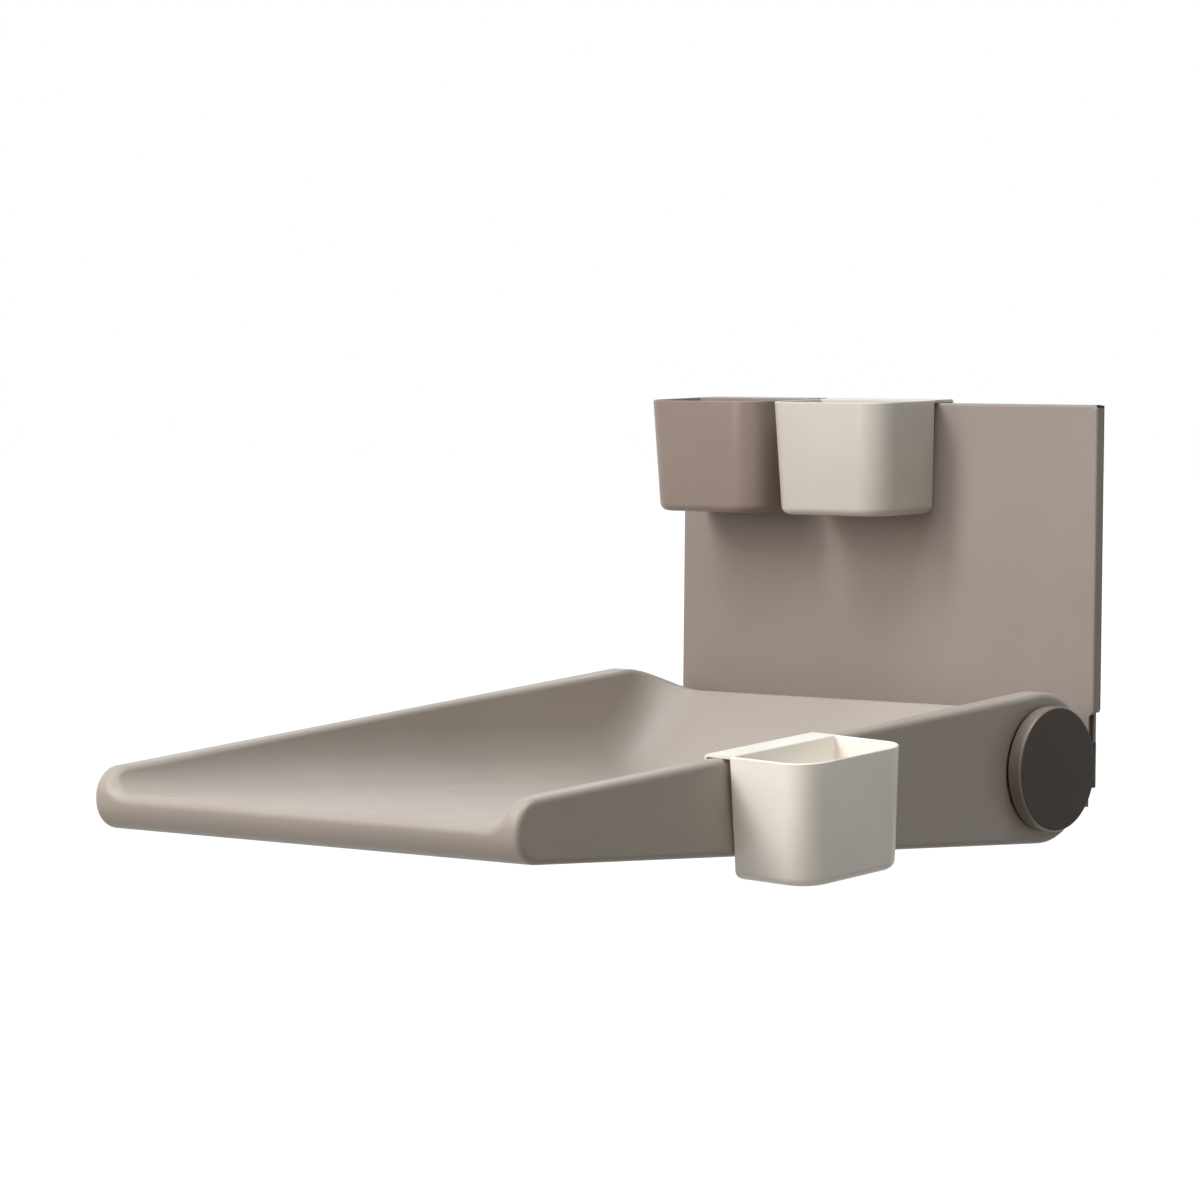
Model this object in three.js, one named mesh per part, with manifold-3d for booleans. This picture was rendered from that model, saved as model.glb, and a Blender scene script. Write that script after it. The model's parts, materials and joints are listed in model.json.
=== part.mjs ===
// A fold-down baby changing station that hangs on a wall: a folded steel wall plate on two rails,
// a moulded tray that swings up on two friction hinges, and three storage boxes on hooks.
// Millimetres, +Z up. The origin is on the wall, in the middle, at the height of the hinge axis.
// The plate faces -Y and the open tray reaches out to -Y.

import * as THREE from 'three';
import { mergeVertices } from 'three/addons/utils/BufferGeometryUtils.js';
import Module from 'manifold-3d';

const wasm = await Module();
wasm.setup();

// Clearances
const FIT_GAP = 0.3; // between pieces that touch
const RUN_GAP = 0.35; // round a shaft, on the radius
const CUT_OVER = 5; // how far a cutting tool reaches past what it cuts

// Wall plate, a steel sheet folded back at its top and sides
const PLATE_INSET = 14.2; // each side edge, in from the tray's cheek
const PLATE_TOP = 349; // above the hinge axis
const PLATE_BOTTOM = -44;
const PLATE_OUT = 28; // front face, out from the wall
const PLATE_SHEET = 1.5;
const PLATE_FLANGE = 10.8;
const PLATE_BEND = 2.5;
const PLATE_CORNER = 3;
const FLANGE_END = 50; // the side flanges stop here, above the hinge arms
const NOTCH_DEPTH = 5.5; // the sheet is this much narrower on each side below its flanges
const NOTCH_SLOPE = 5; // height of the notch's sloping upper edge
const CORNER_RELIEF = 3; // open corner where the top and side flanges meet

// Hanging channel on the back of the plate, and the wall rail that it hangs on
const CHANNEL_SHEET = 2;
const CHANNEL_INSET = 18.5; // each end, in from the plate's side edge
const CHANNEL_OUT = 7.4; // rear leg, out from the wall
const CHANNEL_REAR_LEG = 44;
const CHANNEL_FRONT_LEG = 80;
const RAIL_SHEET = 2;
const RAIL_INSET = 43.5; // each end, in from the plate's side edge
const RAIL_OUT = 14; // upright leg, out from the wall
const RAIL_UPRIGHT = 74;
const RAIL_FOOT = 38;

// Lower wall rail, a lipped channel that carries the hinge arms
const LOWER_RAIL_INSET = 17; // each end, in from the plate's side edge
const LOWER_RAIL_HALF_HEIGHT = 44;
const LOWER_RAIL_RAISE = 5; // its middle, above the hinge axis
const RAIL_CORNER_LENGTH = 30; // cut off the lower corner at each end
const RAIL_CORNER_HEIGHT = 16;
const LOWER_RAIL_WALL = 4;
const LOWER_RAIL_SLOT = 12; // between its two lips
const WALL_HOLE_RADIUS = 4.5;
const WALL_HOLE_SPACING = 150;

// Hinge axis and tray
const PLATE_CLEAR = 24.7; // tray's round end to the plate
const TRAY_WIDTH = 557; // at the hinge axis
const TRAY_NARROWING = 12.6; // on each side, from the hinge axis to the front
const TRAY_REACH = 736; // hinge axis to the front edge
const BARREL_RADIUS = 72.7; // round end about the hinge axis
const TOP_FALL = 5.34; // degrees, side wall tops fall towards the front
const BASE_RISE = 1.67; // degrees, underside rises towards the front
const FRONT_TOP_RADIUS = 28;
const FRONT_BASE_RADIUS = 28;
const TRAY_EDGE = 6; // rounding of the outer side edges
const FLOOR_THICK = 34.5; // the floor runs parallel to the underside
const SIDE_WALL = 26; // where the inner side wall, drawn on down, meets the floor
const SIDE_DRAFT = 6; // degrees, inner side wall
const FILLET_FRONT = 24; // inner fillet from floor to side wall, at the front edge and at the back
const FILLET_BACK = 54;
const BACK_FOOT = 60; // floor ends this far in front of the hinge axis
const BACK_DEPTH = 110; // back wall, from its foot to its top edge
const BACK_HEIGHT = 96; // above the floor
const BACK_CURVE = 0.6; // exponent of the back wall's hollow curve
const CORNER_FLOOR = 60; // plan radius of the back corners, at the floor and at the rim
const CORNER_RIM = 75;
const LIP_RADIUS = 8; // rounding of the floor's front edge
const LIP_END = 7; // the rounding reaches this far into the side fillets

// Steel core inside the tray
const BAR_WIDTH = 40;
const BAR_THICK = 6;
const BAR_COVER = 9; // moulding under the bars
const BAR_OFFSET = 120; // each bar's middle, from the middle of the tray
const BAR_FRONT = 100; // front end, back from the front edge
const BAR_BACK = 28; // rear end, behind the hinge axis
const TUBE_RADIUS = 12;
const TUBE_BORE = 5.3;
const TUBE_BOLT_LENGTH = 28;

// Hinge
const HUB_MARGIN = 15.7; // hub plate's edge, in from the round end
const HUB_THICK = 4;
const SHAFT_RADIUS = 10;
const SHAFT_FLANGE_RADIUS = 20;
const SHAFT_FLANGE_THICK = 3.7;
const ARM_THICK = 5;
const ARM_GAP = 1.3; // hub plate to arm
const ARM_HEAD_RADIUS = 30;
const ARM_HEIGHT = 44;
const ARM_BEND = 10; // outside radius
const ARM_FOOT = 72; // length of the foot, inwards from the arm's outer face
const ARM_CLEAR = 4.3; // tray's round end to the foot
const BUSH_WALL = 3;
const BUSH_FLANGE_RADIUS = 16;
const BUSH_FLANGE_THICK = 0.7;
const WASHER_RADIUS = 18;
const WASHER_THICK = 1.5;
const SPRING_RADIUS = 17;
const SPRING_SHEET = 1.2;
const SPRING_RISE = 0.8;
const NUT_RADIUS = 17;
const NUT_THICK = 3.5;
const STOP_RADIUS = 20; // stop pin, from the hinge axis
const STOP_PIN_RADIUS = 3;
const STOP_REST_ANGLE = 225; // degrees, where the pin stands with the tray down
const FOLD_ANGLE = 90; // degrees
const CAP_MARGIN = 12.7; // cap's edge, in from the round end
const CAP_STANDS = 17; // proud of the tray's side
const CAP_GAP = 1;
const CAP_WALL = 2.5;
const CAP_EDGE = 3.5;
const CAP_RING_RADIUS = 29; // ring inside the cap that sits on the arm
const CAP_RING_WALL = 4;

// Fasteners
const BOLT_RADIUS = 4;
const BOLT_HEAD_RADIUS = 8;
const BOLT_HEAD_DEPTH = 4;
const BOLT_SPACING = 26; // between an arm's two bolts, up and down
const BOLT_NUT_RADIUS = 7.5;
const BOLT_NUT_THICK = 6.5;
const BOLT_END = 1; // past the nut
const SPACER_MARGIN = 16; // spacer block around its bolts, sideways
const HUB_SCREW_RADIUS = 2.5;
const HUB_SCREW_HEAD = 5;
const HUB_SCREW_HEAD_DEPTH = 2.5;
const HUB_SCREW_LENGTH = 13;
const HUB_SCREW_CIRCLE = 42;
const HUB_SCREW_ANGLES = [30, 150]; // degrees

// Storage boxes
const BOX_WIDTH = 148;
const BOX_DEPTH = 92;
const BOX_HEIGHT = 113;
const BOX_WALL = 2.6;
const BOX_SIDE_DRAFT = 2.2; // degrees
const BOX_FRONT_DRAFT = 2.1; // degrees
const BOX_FRONT_CORNER = 30;
const BOX_BACK_CORNER = 3;
const BOX_BASE_EDGE = 8;
const BOX_DROOP = 2.1; // degrees, how far a hung box tips forward
const HOOK_LENGTH = 28.8;
const HOOK_LIP = 7;
const BOX_GAP = 13; // between the two boxes on the plate
const PLATE_BOX_CENTRE = -6; // middle of the right-hand box on the plate
const SIDE_BOX_CENTRE = -392; // middle of the box on the tray's side, from the hinge axis

// Number of flat facets
const HEX_SIDES = 6;
const SMALL_ROUND = 16;
const LARGE_ROUND = 32;
const ARC_STEPS = 8;
const SIDE_STEPS = 7; // along the tray's inner side walls
const HOLLOW_LEVELS = [0, 0.006, 0.02, 0.05, 0.1, 0.16, 0.24, 0.34, 0.48, 0.68, 1]; // shares of its height
const SAME_POINT = 1e-4; // corners closer than this are one corner

// Sizes that follow from those above
const radians = THREE.MathUtils.degToRad;
const QUARTER = [0, 30, 60, 90].map(radians); // angles at which a rounded edge is drawn
const AXIS_TO_PLATE = BARREL_RADIUS + PLATE_CLEAR;
const AXIS_OUT = PLATE_OUT + AXIS_TO_PLATE;
const HUB_RADIUS = BARREL_RADIUS - HUB_MARGIN;
const CAP_RADIUS = BARREL_RADIUS - CAP_MARGIN;
const TRAY_HALF = TRAY_WIDTH / 2;
const PLATE_HALF = TRAY_HALF - PLATE_INSET;
const CHANNEL_HALF = PLATE_HALF - CHANNEL_INSET;
const RAIL_HALF = PLATE_HALF - RAIL_INSET;
const LOWER_RAIL_HALF = PLATE_HALF - LOWER_RAIL_INSET;
const HUB_FACE = TRAY_HALF - FIT_GAP;
const HUB_BACK = HUB_FACE - HUB_THICK;
const SHAFT_BACK = HUB_BACK - FIT_GAP - SHAFT_FLANGE_THICK;
const ARM_INNER = HUB_FACE + ARM_GAP;
const ARM_OUTER = ARM_INNER + ARM_THICK;
const ARM_FOOT_FRONT = BARREL_RADIUS + ARM_CLEAR;
const ARM_FOOT_BACK = ARM_FOOT_FRONT + ARM_THICK;
const ARM_FOOT_END = ARM_OUTER - ARM_FOOT;
const BOLT_ACROSS = ARM_FOOT_END + SPACER_MARGIN;
const SHEET_BACK = AXIS_TO_PLATE + PLATE_SHEET;
const NUT_FRONT = SHEET_BACK + FIT_GAP + LOWER_RAIL_WALL + FIT_GAP;
const BUSH_RADIUS = SHAFT_RADIUS + RUN_GAP + BUSH_WALL;
const WASHER_INNER = ARM_OUTER + FIT_GAP;
const SPRING_INNER = WASHER_INNER + WASHER_THICK + FIT_GAP;
const NUT_INNER = SPRING_INNER + SPRING_SHEET + SPRING_RISE + FIT_GAP;
const SHAFT_END = NUT_INNER + NUT_THICK;
const CAP_FACE = TRAY_HALF + CAP_STANDS;
const CAP_INSIDE = CAP_FACE - CAP_WALL;
const BOX_PITCH = BOX_WIDTH + BOX_GAP;
const UNDERSIDE_SLOPE = Math.tan(radians(BASE_RISE));
const BAR_BASE_DROP = BARREL_RADIUS / Math.cos(radians(BASE_RISE)) - BAR_COVER;
const TUBE_DROP = BAR_BASE_DROP - (BAR_THICK + FIT_GAP + TUBE_RADIUS) / Math.cos(radians(BASE_RISE));
const TAPER = TRAY_NARROWING / TRAY_REACH;

// Solids: closed meshes, and joining and cutting them

// A closed mesh with shared corners merged, empty triangles dropped and faces pointing out.
function closed(geometry) {
  const bare = geometry.index ? geometry.toNonIndexed() : geometry.clone();
  bare.deleteAttribute('normal');
  bare.deleteAttribute('uv');
  const merged = mergeVertices(bare, SAME_POINT);
  const corner = merged.index.array;
  const spot = [0, 1, 2].map(() => new THREE.Vector3());
  const kept = [];
  let volume = 0;
  for (let i = 0; i < corner.length; i += 3) {
    const [a, b, c] = corner.slice(i, i + 3);
    if (a === b || b === c || c === a) continue;
    [a, b, c].forEach((n, k) => spot[k].fromBufferAttribute(merged.attributes.position, n));
    volume += spot[0].dot(spot[1].clone().cross(spot[2]));
    kept.push(a, b, c);
  }
  if (volume < 0) kept.reverse();
  merged.setIndex(kept);
  return merged;
}

function toManifold(geometry) {
  const mesh = closed(geometry);
  return new wasm.Manifold(new wasm.Mesh({
    numProp: 3,
    vertProperties: new Float32Array(mesh.attributes.position.array),
    triVerts: new Uint32Array(mesh.index.array),
  }));
}

function fromManifold(solid) {
  const mesh = solid.getMesh();
  const geometry = new THREE.BufferGeometry();
  geometry.setAttribute('position', new THREE.BufferAttribute(mesh.vertProperties, 3));
  geometry.setIndex(new THREE.BufferAttribute(mesh.triVerts, 1));
  return geometry;
}

function join(...pieces) {
  return fromManifold(pieces.map(toManifold).reduce((whole, piece) => whole.add(piece)));
}

function cut(geometry, ...tools) {
  return fromManifold(tools.map(toManifold).reduce((rest, tool) => rest.subtract(tool), toManifold(geometry)));
}

function mirrored(geometry) {
  return geometry.clone().applyMatrix4(new THREE.Matrix4().makeScale(-1, 1, 1));
}

// A mesh over a row of rings with equal numbers of points, closed by a flat face at each end.
function loft(rings) {
  const count = rings[0].length;
  const index = [];
  for (let r = 0; r + 1 < rings.length; r += 1) {
    for (let i = 0; i < count; i += 1) {
      const [a, b] = [r * count + i, r * count + (i + 1) % count];
      index.push(a, b, b + count, a, b + count, a + count);
    }
  }
  const last = (rings.length - 1) * count;
  for (let i = 1; i + 1 < count; i += 1) {
    index.push(0, i + 1, i, last, last + i, last + i + 1);
  }
  const geometry = new THREE.BufferGeometry().setFromPoints(rings.flat());
  geometry.setIndex(index);
  return geometry;
}

function outline(points) {
  return new THREE.Shape(points.map(([u, v]) => new THREE.Vector2(u, v)));
}

function circleHole(u, v, radius) {
  return new THREE.Path().absarc(u, v, radius, 0, 2 * Math.PI, true);
}

// A shape drawn in Y and Z, drawn out along X.
function alongX(shape, from, to, steps = ARC_STEPS) {
  const geometry = new THREE.ExtrudeGeometry(shape, {
    depth: to - from, bevelEnabled: false, curveSegments: steps,
  });
  const axes = new THREE.Matrix4().makeBasis(
    new THREE.Vector3(0, 1, 0), new THREE.Vector3(0, 0, 1), new THREE.Vector3(1, 0, 0),
  );
  return geometry.applyMatrix4(axes).translate(from, 0, 0);
}

// A shape drawn in X and Y, drawn out along Z.
function alongZ(shape, from, to, steps = ARC_STEPS) {
  const geometry = new THREE.ExtrudeGeometry(shape, {
    depth: to - from, bevelEnabled: false, curveSegments: steps,
  });
  return geometry.translate(0, 0, from);
}

function block([x0, y0, z0], [x1, y1, z1]) {
  const geometry = new THREE.BoxGeometry(x1 - x0, y1 - y0, z1 - z0);
  return geometry.translate((x0 + x1) / 2, (y0 + y1) / 2, (z0 + z1) / 2);
}

// A turned piece. The profile lists [radius, place on the axis].
function turnedY(profile, steps = SMALL_ROUND) {
  return new THREE.LatheGeometry(profile.map(([r, h]) => new THREE.Vector2(r, h)), steps);
}

function turnedX(profile, steps = SMALL_ROUND) {
  return turnedY(profile, steps).rotateZ(-Math.PI / 2);
}

function rod(radius, from, to) {
  return [[0, from], [radius, from], [radius, to], [0, to]];
}

function ringProfile(inner, outer, from, to) {
  return [[inner, from], [outer, from], [outer, to], [inner, to], [inner, from]];
}

// Profile of a countersunk screw: its face, and the way that it points along the axis.
function screwProfile({ radius, head, headDepth, length }, face, way, grow = 0, over = 0) {
  return [
    [0, face - way * over],
    [head + grow, face - way * over],
    [head + grow, face + way * grow],
    [radius + grow, face + way * (headDepth + grow)],
    [radius + grow, face + way * (length + grow)],
    [0, face + way * (length + grow)],
  ];
}

function hexNut(radius, hole, thick) {
  const corners = Array.from({ length: HEX_SIDES }, (_, k) => 2 * Math.PI * k / HEX_SIDES);
  const shape = outline(corners.map((angle) => [radius * Math.cos(angle), radius * Math.sin(angle)]));
  shape.holes.push(circleHole(0, 0, hole));
  return new THREE.ExtrudeGeometry(shape, { depth: thick, bevelEnabled: false, curveSegments: SMALL_ROUND });
}

// Materials
function finish(color, roughness, metalness) {
  return new THREE.MeshStandardMaterial({ color, roughness, metalness });
}

const LOOKS = {
  plate: finish(0xa0938a, 0.55, 0.1),
  moulding: finish(0xa0978d, 0.6, 0),
  cap: finish(0x4d4640, 0.5, 0),
  blackSteel: finish(0x2a2827, 0.5, 0.4),
  steel: finish(0x9a9c9e, 0.35, 1),
  galvanised: finish(0xa6a9aa, 0.5, 1),
  bush: finish(0xd8d4c8, 0.5, 0),
  taupeBox: finish(0x9a8a80, 0.5, 0),
  sandBox: finish(0xd7cfc4, 0.5, 0),
  whiteBox: finish(0xe2dbd3, 0.5, 0),
};

const station = new THREE.Group();
const hinge = new THREE.Group();
hinge.position.set(0, -AXIS_OUT, 0);
station.add(hinge);

function place(parent, name, geometry, look) {
  const mesh = new THREE.Mesh(closed(geometry), LOOKS[look]);
  mesh.name = name;
  parent.add(mesh);
  return mesh;
}

// Wall plate
function plateRing(inset, y) {
  const half = PLATE_HALF - inset;
  const top = PLATE_TOP - inset;
  const bottom = PLATE_BOTTOM + inset;
  const corners = [[half, bottom], [half, top], [-half, top], [-half, bottom]];
  return corners.flatMap(([x, z]) => {
    const dx = Math.sign(x) * PLATE_CORNER;
    const dz = z === top ? PLATE_CORNER : -PLATE_CORNER;
    const onSide = new THREE.Vector3(x, y, z - dz);
    const onEnd = new THREE.Vector3(x - dx, y, z);
    return (x > 0) === (z === top) ? [onSide, onEnd] : [onEnd, onSide];
  });
}

function wallPlate() {
  const front = -PLATE_OUT;
  const back = front + PLATE_FLANGE;
  const half = PLATE_HALF;
  const rings = QUARTER.map((turn) => plateRing(
    PLATE_BEND * (1 - Math.sin(turn)), front + PLATE_BEND * (1 - Math.cos(turn)),
  ));
  const outer = loft([...rings, plateRing(0, back)]);
  const inside = block(
    [-half + PLATE_SHEET, front + PLATE_SHEET, PLATE_BOTTOM - CUT_OVER],
    [half - PLATE_SHEET, back + CUT_OVER, PLATE_TOP - PLATE_SHEET],
  );
  const notches = [-1, 1].map((side) => plateNotch(side, front - CUT_OVER, back + CUT_OVER));
  const reliefs = [-1, 1].map((side) => block(
    [side * half - CORNER_RELIEF, front + PLATE_BEND, PLATE_TOP - CORNER_RELIEF],
    [side * half + CORNER_RELIEF, back + CUT_OVER, PLATE_TOP + CORNER_RELIEF],
  ));
  const bolts = boltPlaces().map(([x, z]) => turnedY(
    rod(BOLT_RADIUS + FIT_GAP, front - CUT_OVER, front + CUT_OVER),
  ).translate(x, 0, z));
  return cut(outer, inside, ...notches, ...reliefs, ...bolts);
}

// Clears the hinge: a straight cut with a sloping upper edge, along one side of the sheet
function plateNotch(side, front, back) {
  const inner = side * (PLATE_HALF - NOTCH_DEPTH);
  const outer = side * (PLATE_HALF + NOTCH_DEPTH);
  const corners = [
    [inner, PLATE_BOTTOM - CUT_OVER], [outer, PLATE_BOTTOM - CUT_OVER], [outer, FLANGE_END],
    [side * PLATE_HALF, FLANGE_END], [inner, FLANGE_END - NOTCH_SLOPE],
  ];
  return loft([front, back].map((y) => corners.map(([x, z]) => new THREE.Vector3(x, y, z))));
}

function boltPlaces() {
  return [-1, 1].flatMap((side) => [-1, 1].map((up) => [side * BOLT_ACROSS, up * BOLT_SPACING / 2]));
}

// Hanging channel: an upside-down U behind the plate's top flange
function hangingChannel() {
  const front = -PLATE_OUT + PLATE_SHEET + FIT_GAP;
  const rear = -CHANNEL_OUT;
  const top = PLATE_TOP - PLATE_SHEET - FIT_GAP;
  const sheet = CHANNEL_SHEET;
  return alongX(outline([
    [front, top - CHANNEL_FRONT_LEG], [front + sheet, top - CHANNEL_FRONT_LEG],
    [front + sheet, top - sheet], [rear - sheet, top - sheet],
    [rear - sheet, top - CHANNEL_REAR_LEG], [rear, top - CHANNEL_REAR_LEG],
    [rear, top], [front, top],
  ]), -CHANNEL_HALF, CHANNEL_HALF);
}

// Upper rail: a Z section whose upright stands inside the channel
function upperRail() {
  const top = PLATE_TOP - PLATE_SHEET - CHANNEL_SHEET - 2 * FIT_GAP;
  const step = top - RAIL_UPRIGHT;
  const sheet = RAIL_SHEET;
  const bar = alongX(outline([
    [-RAIL_OUT, step], [-sheet, step], [-sheet, step - RAIL_FOOT], [0, step - RAIL_FOOT],
    [0, step + sheet], [-RAIL_OUT + sheet, step + sheet], [-RAIL_OUT + sheet, top], [-RAIL_OUT, top],
  ]), -RAIL_HALF, RAIL_HALF);
  return cut(bar, ...wallHoles(step - RAIL_FOOT / 2));
}

function wallHoles(z) {
  return [-1, 1].map((side) => turnedY(
    rod(WALL_HOLE_RADIUS, -LOWER_RAIL_WALL - CUT_OVER, CUT_OVER),
  ).translate(side * WALL_HOLE_SPACING, 0, z));
}

// Lower rail: a channel with its web on the wall and two lips behind the plate
function lowerRail() {
  const front = -PLATE_OUT + PLATE_SHEET + FIT_GAP;
  const wall = LOWER_RAIL_WALL;
  const half = LOWER_RAIL_HALF_HEIGHT;
  const lip = LOWER_RAIL_SLOT / 2;
  const upper = [
    [front, half], [front, lip], [front + wall, lip], [front + wall, half - wall], [-wall, half - wall],
  ];
  const lower = upper.map(([y, z]) => [y, -z]).reverse();
  const section = outline([[0, half], ...upper, ...lower, [0, -half]]);
  const bar = alongX(section, -LOWER_RAIL_HALF, LOWER_RAIL_HALF).translate(0, 0, LOWER_RAIL_RAISE);
  const base = LOWER_RAIL_RAISE - half;
  const corners = [-1, 1].map((side) => block(
    [side * LOWER_RAIL_HALF - RAIL_CORNER_LENGTH, front - CUT_OVER, base - CUT_OVER],
    [side * LOWER_RAIL_HALF + RAIL_CORNER_LENGTH, CUT_OVER, base + RAIL_CORNER_HEIGHT],
  ));
  const bolts = boltPlaces().map(([x, z]) => turnedY(
    rod(BOLT_RADIUS + FIT_GAP, front - CUT_OVER, front + wall + CUT_OVER),
  ).translate(x, 0, z));
  return cut(bar, ...wallHoles(0), ...corners, ...bolts);
}

// Hinge arm: a steel strap with a round head on the axis and a foot bent in behind the tray
const ARM_BOLT = {
  radius: BOLT_RADIUS,
  head: BOLT_HEAD_RADIUS,
  headDepth: BOLT_HEAD_DEPTH,
  length: NUT_FRONT + BOLT_NUT_THICK + BOLT_END - ARM_FOOT_FRONT,
};

function stopSlot() {
  const half = STOP_PIN_RADIUS + FIT_GAP;
  const from = radians(STOP_REST_ANGLE - FOLD_ANGLE);
  const to = radians(STOP_REST_ANGLE);
  const end = (angle) => [STOP_RADIUS * Math.cos(angle), STOP_RADIUS * Math.sin(angle)];
  const shape = new THREE.Shape();
  shape.absarc(0, 0, STOP_RADIUS + half, from, to, false);
  shape.absarc(...end(to), half, to, to + Math.PI, false);
  shape.absarc(0, 0, STOP_RADIUS - half, to, from, true);
  shape.absarc(...end(from), half, from + Math.PI, from + 2 * Math.PI, false);
  return alongX(shape, ARM_INNER - CUT_OVER, ARM_OUTER + CUT_OVER);
}

function hingeArm() {
  const bendX = ARM_OUTER - ARM_BEND;
  const bendY = ARM_FOOT_BACK - ARM_BEND;
  const strap = new THREE.Shape();
  strap.moveTo(ARM_INNER, 0);
  strap.lineTo(ARM_OUTER, 0);
  strap.absarc(bendX, bendY, ARM_BEND, 0, Math.PI / 2, false);
  strap.lineTo(ARM_FOOT_END, ARM_FOOT_BACK);
  strap.lineTo(ARM_FOOT_END, ARM_FOOT_FRONT);
  strap.absarc(bendX, bendY, ARM_BEND - ARM_THICK, Math.PI / 2, 0, true);
  const head = turnedX(rod(ARM_HEAD_RADIUS, ARM_INNER, ARM_OUTER), LARGE_ROUND);
  const bore = turnedX(rod(BUSH_RADIUS + FIT_GAP, ARM_INNER - CUT_OVER, ARM_OUTER + CUT_OVER), LARGE_ROUND);
  const bolts = [-1, 1].map((up) => turnedY(
    screwProfile(ARM_BOLT, ARM_FOOT_FRONT, 1, FIT_GAP, CUT_OVER),
  ).translate(BOLT_ACROSS, 0, up * BOLT_SPACING / 2));
  const arm = join(alongZ(strap, -ARM_HEIGHT / 2, ARM_HEIGHT / 2), head);
  return cut(arm, bore, stopSlot(), ...bolts);
}

function armSpacer() {
  const body = block(
    [BOLT_ACROSS - SPACER_MARGIN, ARM_FOOT_BACK + FIT_GAP, -ARM_HEIGHT / 2],
    [BOLT_ACROSS + SPACER_MARGIN, AXIS_TO_PLATE - FIT_GAP, ARM_HEIGHT / 2],
  );
  const bolts = [-1, 1].map((up) => turnedY(
    rod(BOLT_RADIUS + FIT_GAP, ARM_FOOT_BACK - CUT_OVER, AXIS_TO_PLATE + CUT_OVER),
  ).translate(BOLT_ACROSS, 0, up * BOLT_SPACING / 2));
  return cut(body, ...bolts);
}

// Cap over the hinge: a round cup with a ring inside that sits on the arm
function hingeCap() {
  const rim = TRAY_HALF + CAP_GAP;
  const ringIn = CAP_RING_RADIUS - CAP_RING_WALL;
  const ringFoot = ARM_OUTER + FIT_GAP;
  const edge = QUARTER.map((turn) => [
    CAP_RADIUS - CAP_EDGE * (1 - Math.cos(turn)), CAP_FACE - CAP_EDGE * (1 - Math.sin(turn)),
  ]);
  const cup = turnedX([
    [0, CAP_INSIDE], [ringIn, CAP_INSIDE], [ringIn, ringFoot], [CAP_RING_RADIUS, ringFoot],
    [CAP_RING_RADIUS, CAP_INSIDE], [CAP_RADIUS - CAP_WALL, CAP_INSIDE], [CAP_RADIUS - CAP_WALL, rim],
    [CAP_RADIUS, rim], ...edge, [0, CAP_FACE],
  ], LARGE_ROUND);
  const half = ARM_HEIGHT / 2 + FIT_GAP;
  const doorway = block(
    [rim - CUT_OVER, CAP_RING_RADIUS, -half],
    [ARM_OUTER + FIT_GAP, CAP_RADIUS + CUT_OVER, half],
  );
  return cut(cup, doorway);
}

// Pieces that turn with the tray, and the friction stack on the shaft
const HUB_SCREW = {
  radius: HUB_SCREW_RADIUS,
  head: HUB_SCREW_HEAD,
  headDepth: HUB_SCREW_HEAD_DEPTH,
  length: HUB_SCREW_LENGTH,
};
const TUBE_BOLT = {
  radius: TUBE_BORE - FIT_GAP,
  head: BOLT_HEAD_RADIUS,
  headDepth: HUB_THICK - FIT_GAP,
  length: TUBE_BOLT_LENGTH,
};

function hubScrews(grow, over) {
  return HUB_SCREW_ANGLES.map((angle) => turnedX(screwProfile(HUB_SCREW, HUB_FACE, -1, grow, over)).translate(
    0, HUB_SCREW_CIRCLE * Math.cos(radians(angle)), HUB_SCREW_CIRCLE * Math.sin(radians(angle)),
  ));
}

function tubeBolt(grow, over) {
  return turnedX(screwProfile(TUBE_BOLT, HUB_FACE, -1, grow, over)).translate(0, 0, -TUBE_DROP);
}

function stopPin(grow) {
  const angle = radians(STOP_REST_ANGLE);
  return turnedX(rod(STOP_PIN_RADIUS + grow, HUB_BACK - grow, ARM_OUTER + grow)).translate(
    0, STOP_RADIUS * Math.cos(angle), STOP_RADIUS * Math.sin(angle),
  );
}

function hubPlate() {
  const disc = turnedX(rod(HUB_RADIUS, HUB_BACK, HUB_FACE), LARGE_ROUND);
  const bore = turnedX(rod(SHAFT_RADIUS + FIT_GAP, HUB_BACK - CUT_OVER, HUB_FACE + CUT_OVER));
  return cut(
    disc, bore, ...hubScrews(FIT_GAP, CUT_OVER), tubeBolt(FIT_GAP, CUT_OVER), stopPin(FIT_GAP),
  );
}

function pivotShaft() {
  const flangeFace = SHAFT_BACK + SHAFT_FLANGE_THICK;
  return turnedX([
    [0, SHAFT_BACK], [SHAFT_FLANGE_RADIUS, SHAFT_BACK], [SHAFT_FLANGE_RADIUS, flangeFace],
    [SHAFT_RADIUS, flangeFace], [SHAFT_RADIUS, SHAFT_END], [0, SHAFT_END],
  ]);
}

function pivotBush() {
  const inner = SHAFT_RADIUS + RUN_GAP;
  const flangeFace = ARM_INNER - FIT_GAP;
  const flangeBack = flangeFace - BUSH_FLANGE_THICK;
  return turnedX([
    [inner, flangeBack], [BUSH_FLANGE_RADIUS, flangeBack], [BUSH_FLANGE_RADIUS, flangeFace],
    [BUSH_RADIUS, flangeFace], [BUSH_RADIUS, ARM_OUTER], [inner, ARM_OUTER], [inner, flangeBack],
  ]);
}

function frictionWasher() {
  return turnedX(ringProfile(SHAFT_RADIUS + RUN_GAP, WASHER_RADIUS, WASHER_INNER, WASHER_INNER + WASHER_THICK));
}

function cupSpring() {
  const inner = SHAFT_RADIUS + RUN_GAP;
  return turnedX([
    [inner, SPRING_INNER + SPRING_RISE], [SPRING_RADIUS, SPRING_INNER],
    [SPRING_RADIUS, SPRING_INNER + SPRING_SHEET], [inner, SPRING_INNER + SPRING_RISE + SPRING_SHEET],
    [inner, SPRING_INNER + SPRING_RISE],
  ]);
}

function lockNut() {
  return hexNut(NUT_RADIUS, SHAFT_RADIUS + RUN_GAP, NUT_THICK).rotateY(Math.PI / 2).translate(NUT_INNER, 0, 0);
}

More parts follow.
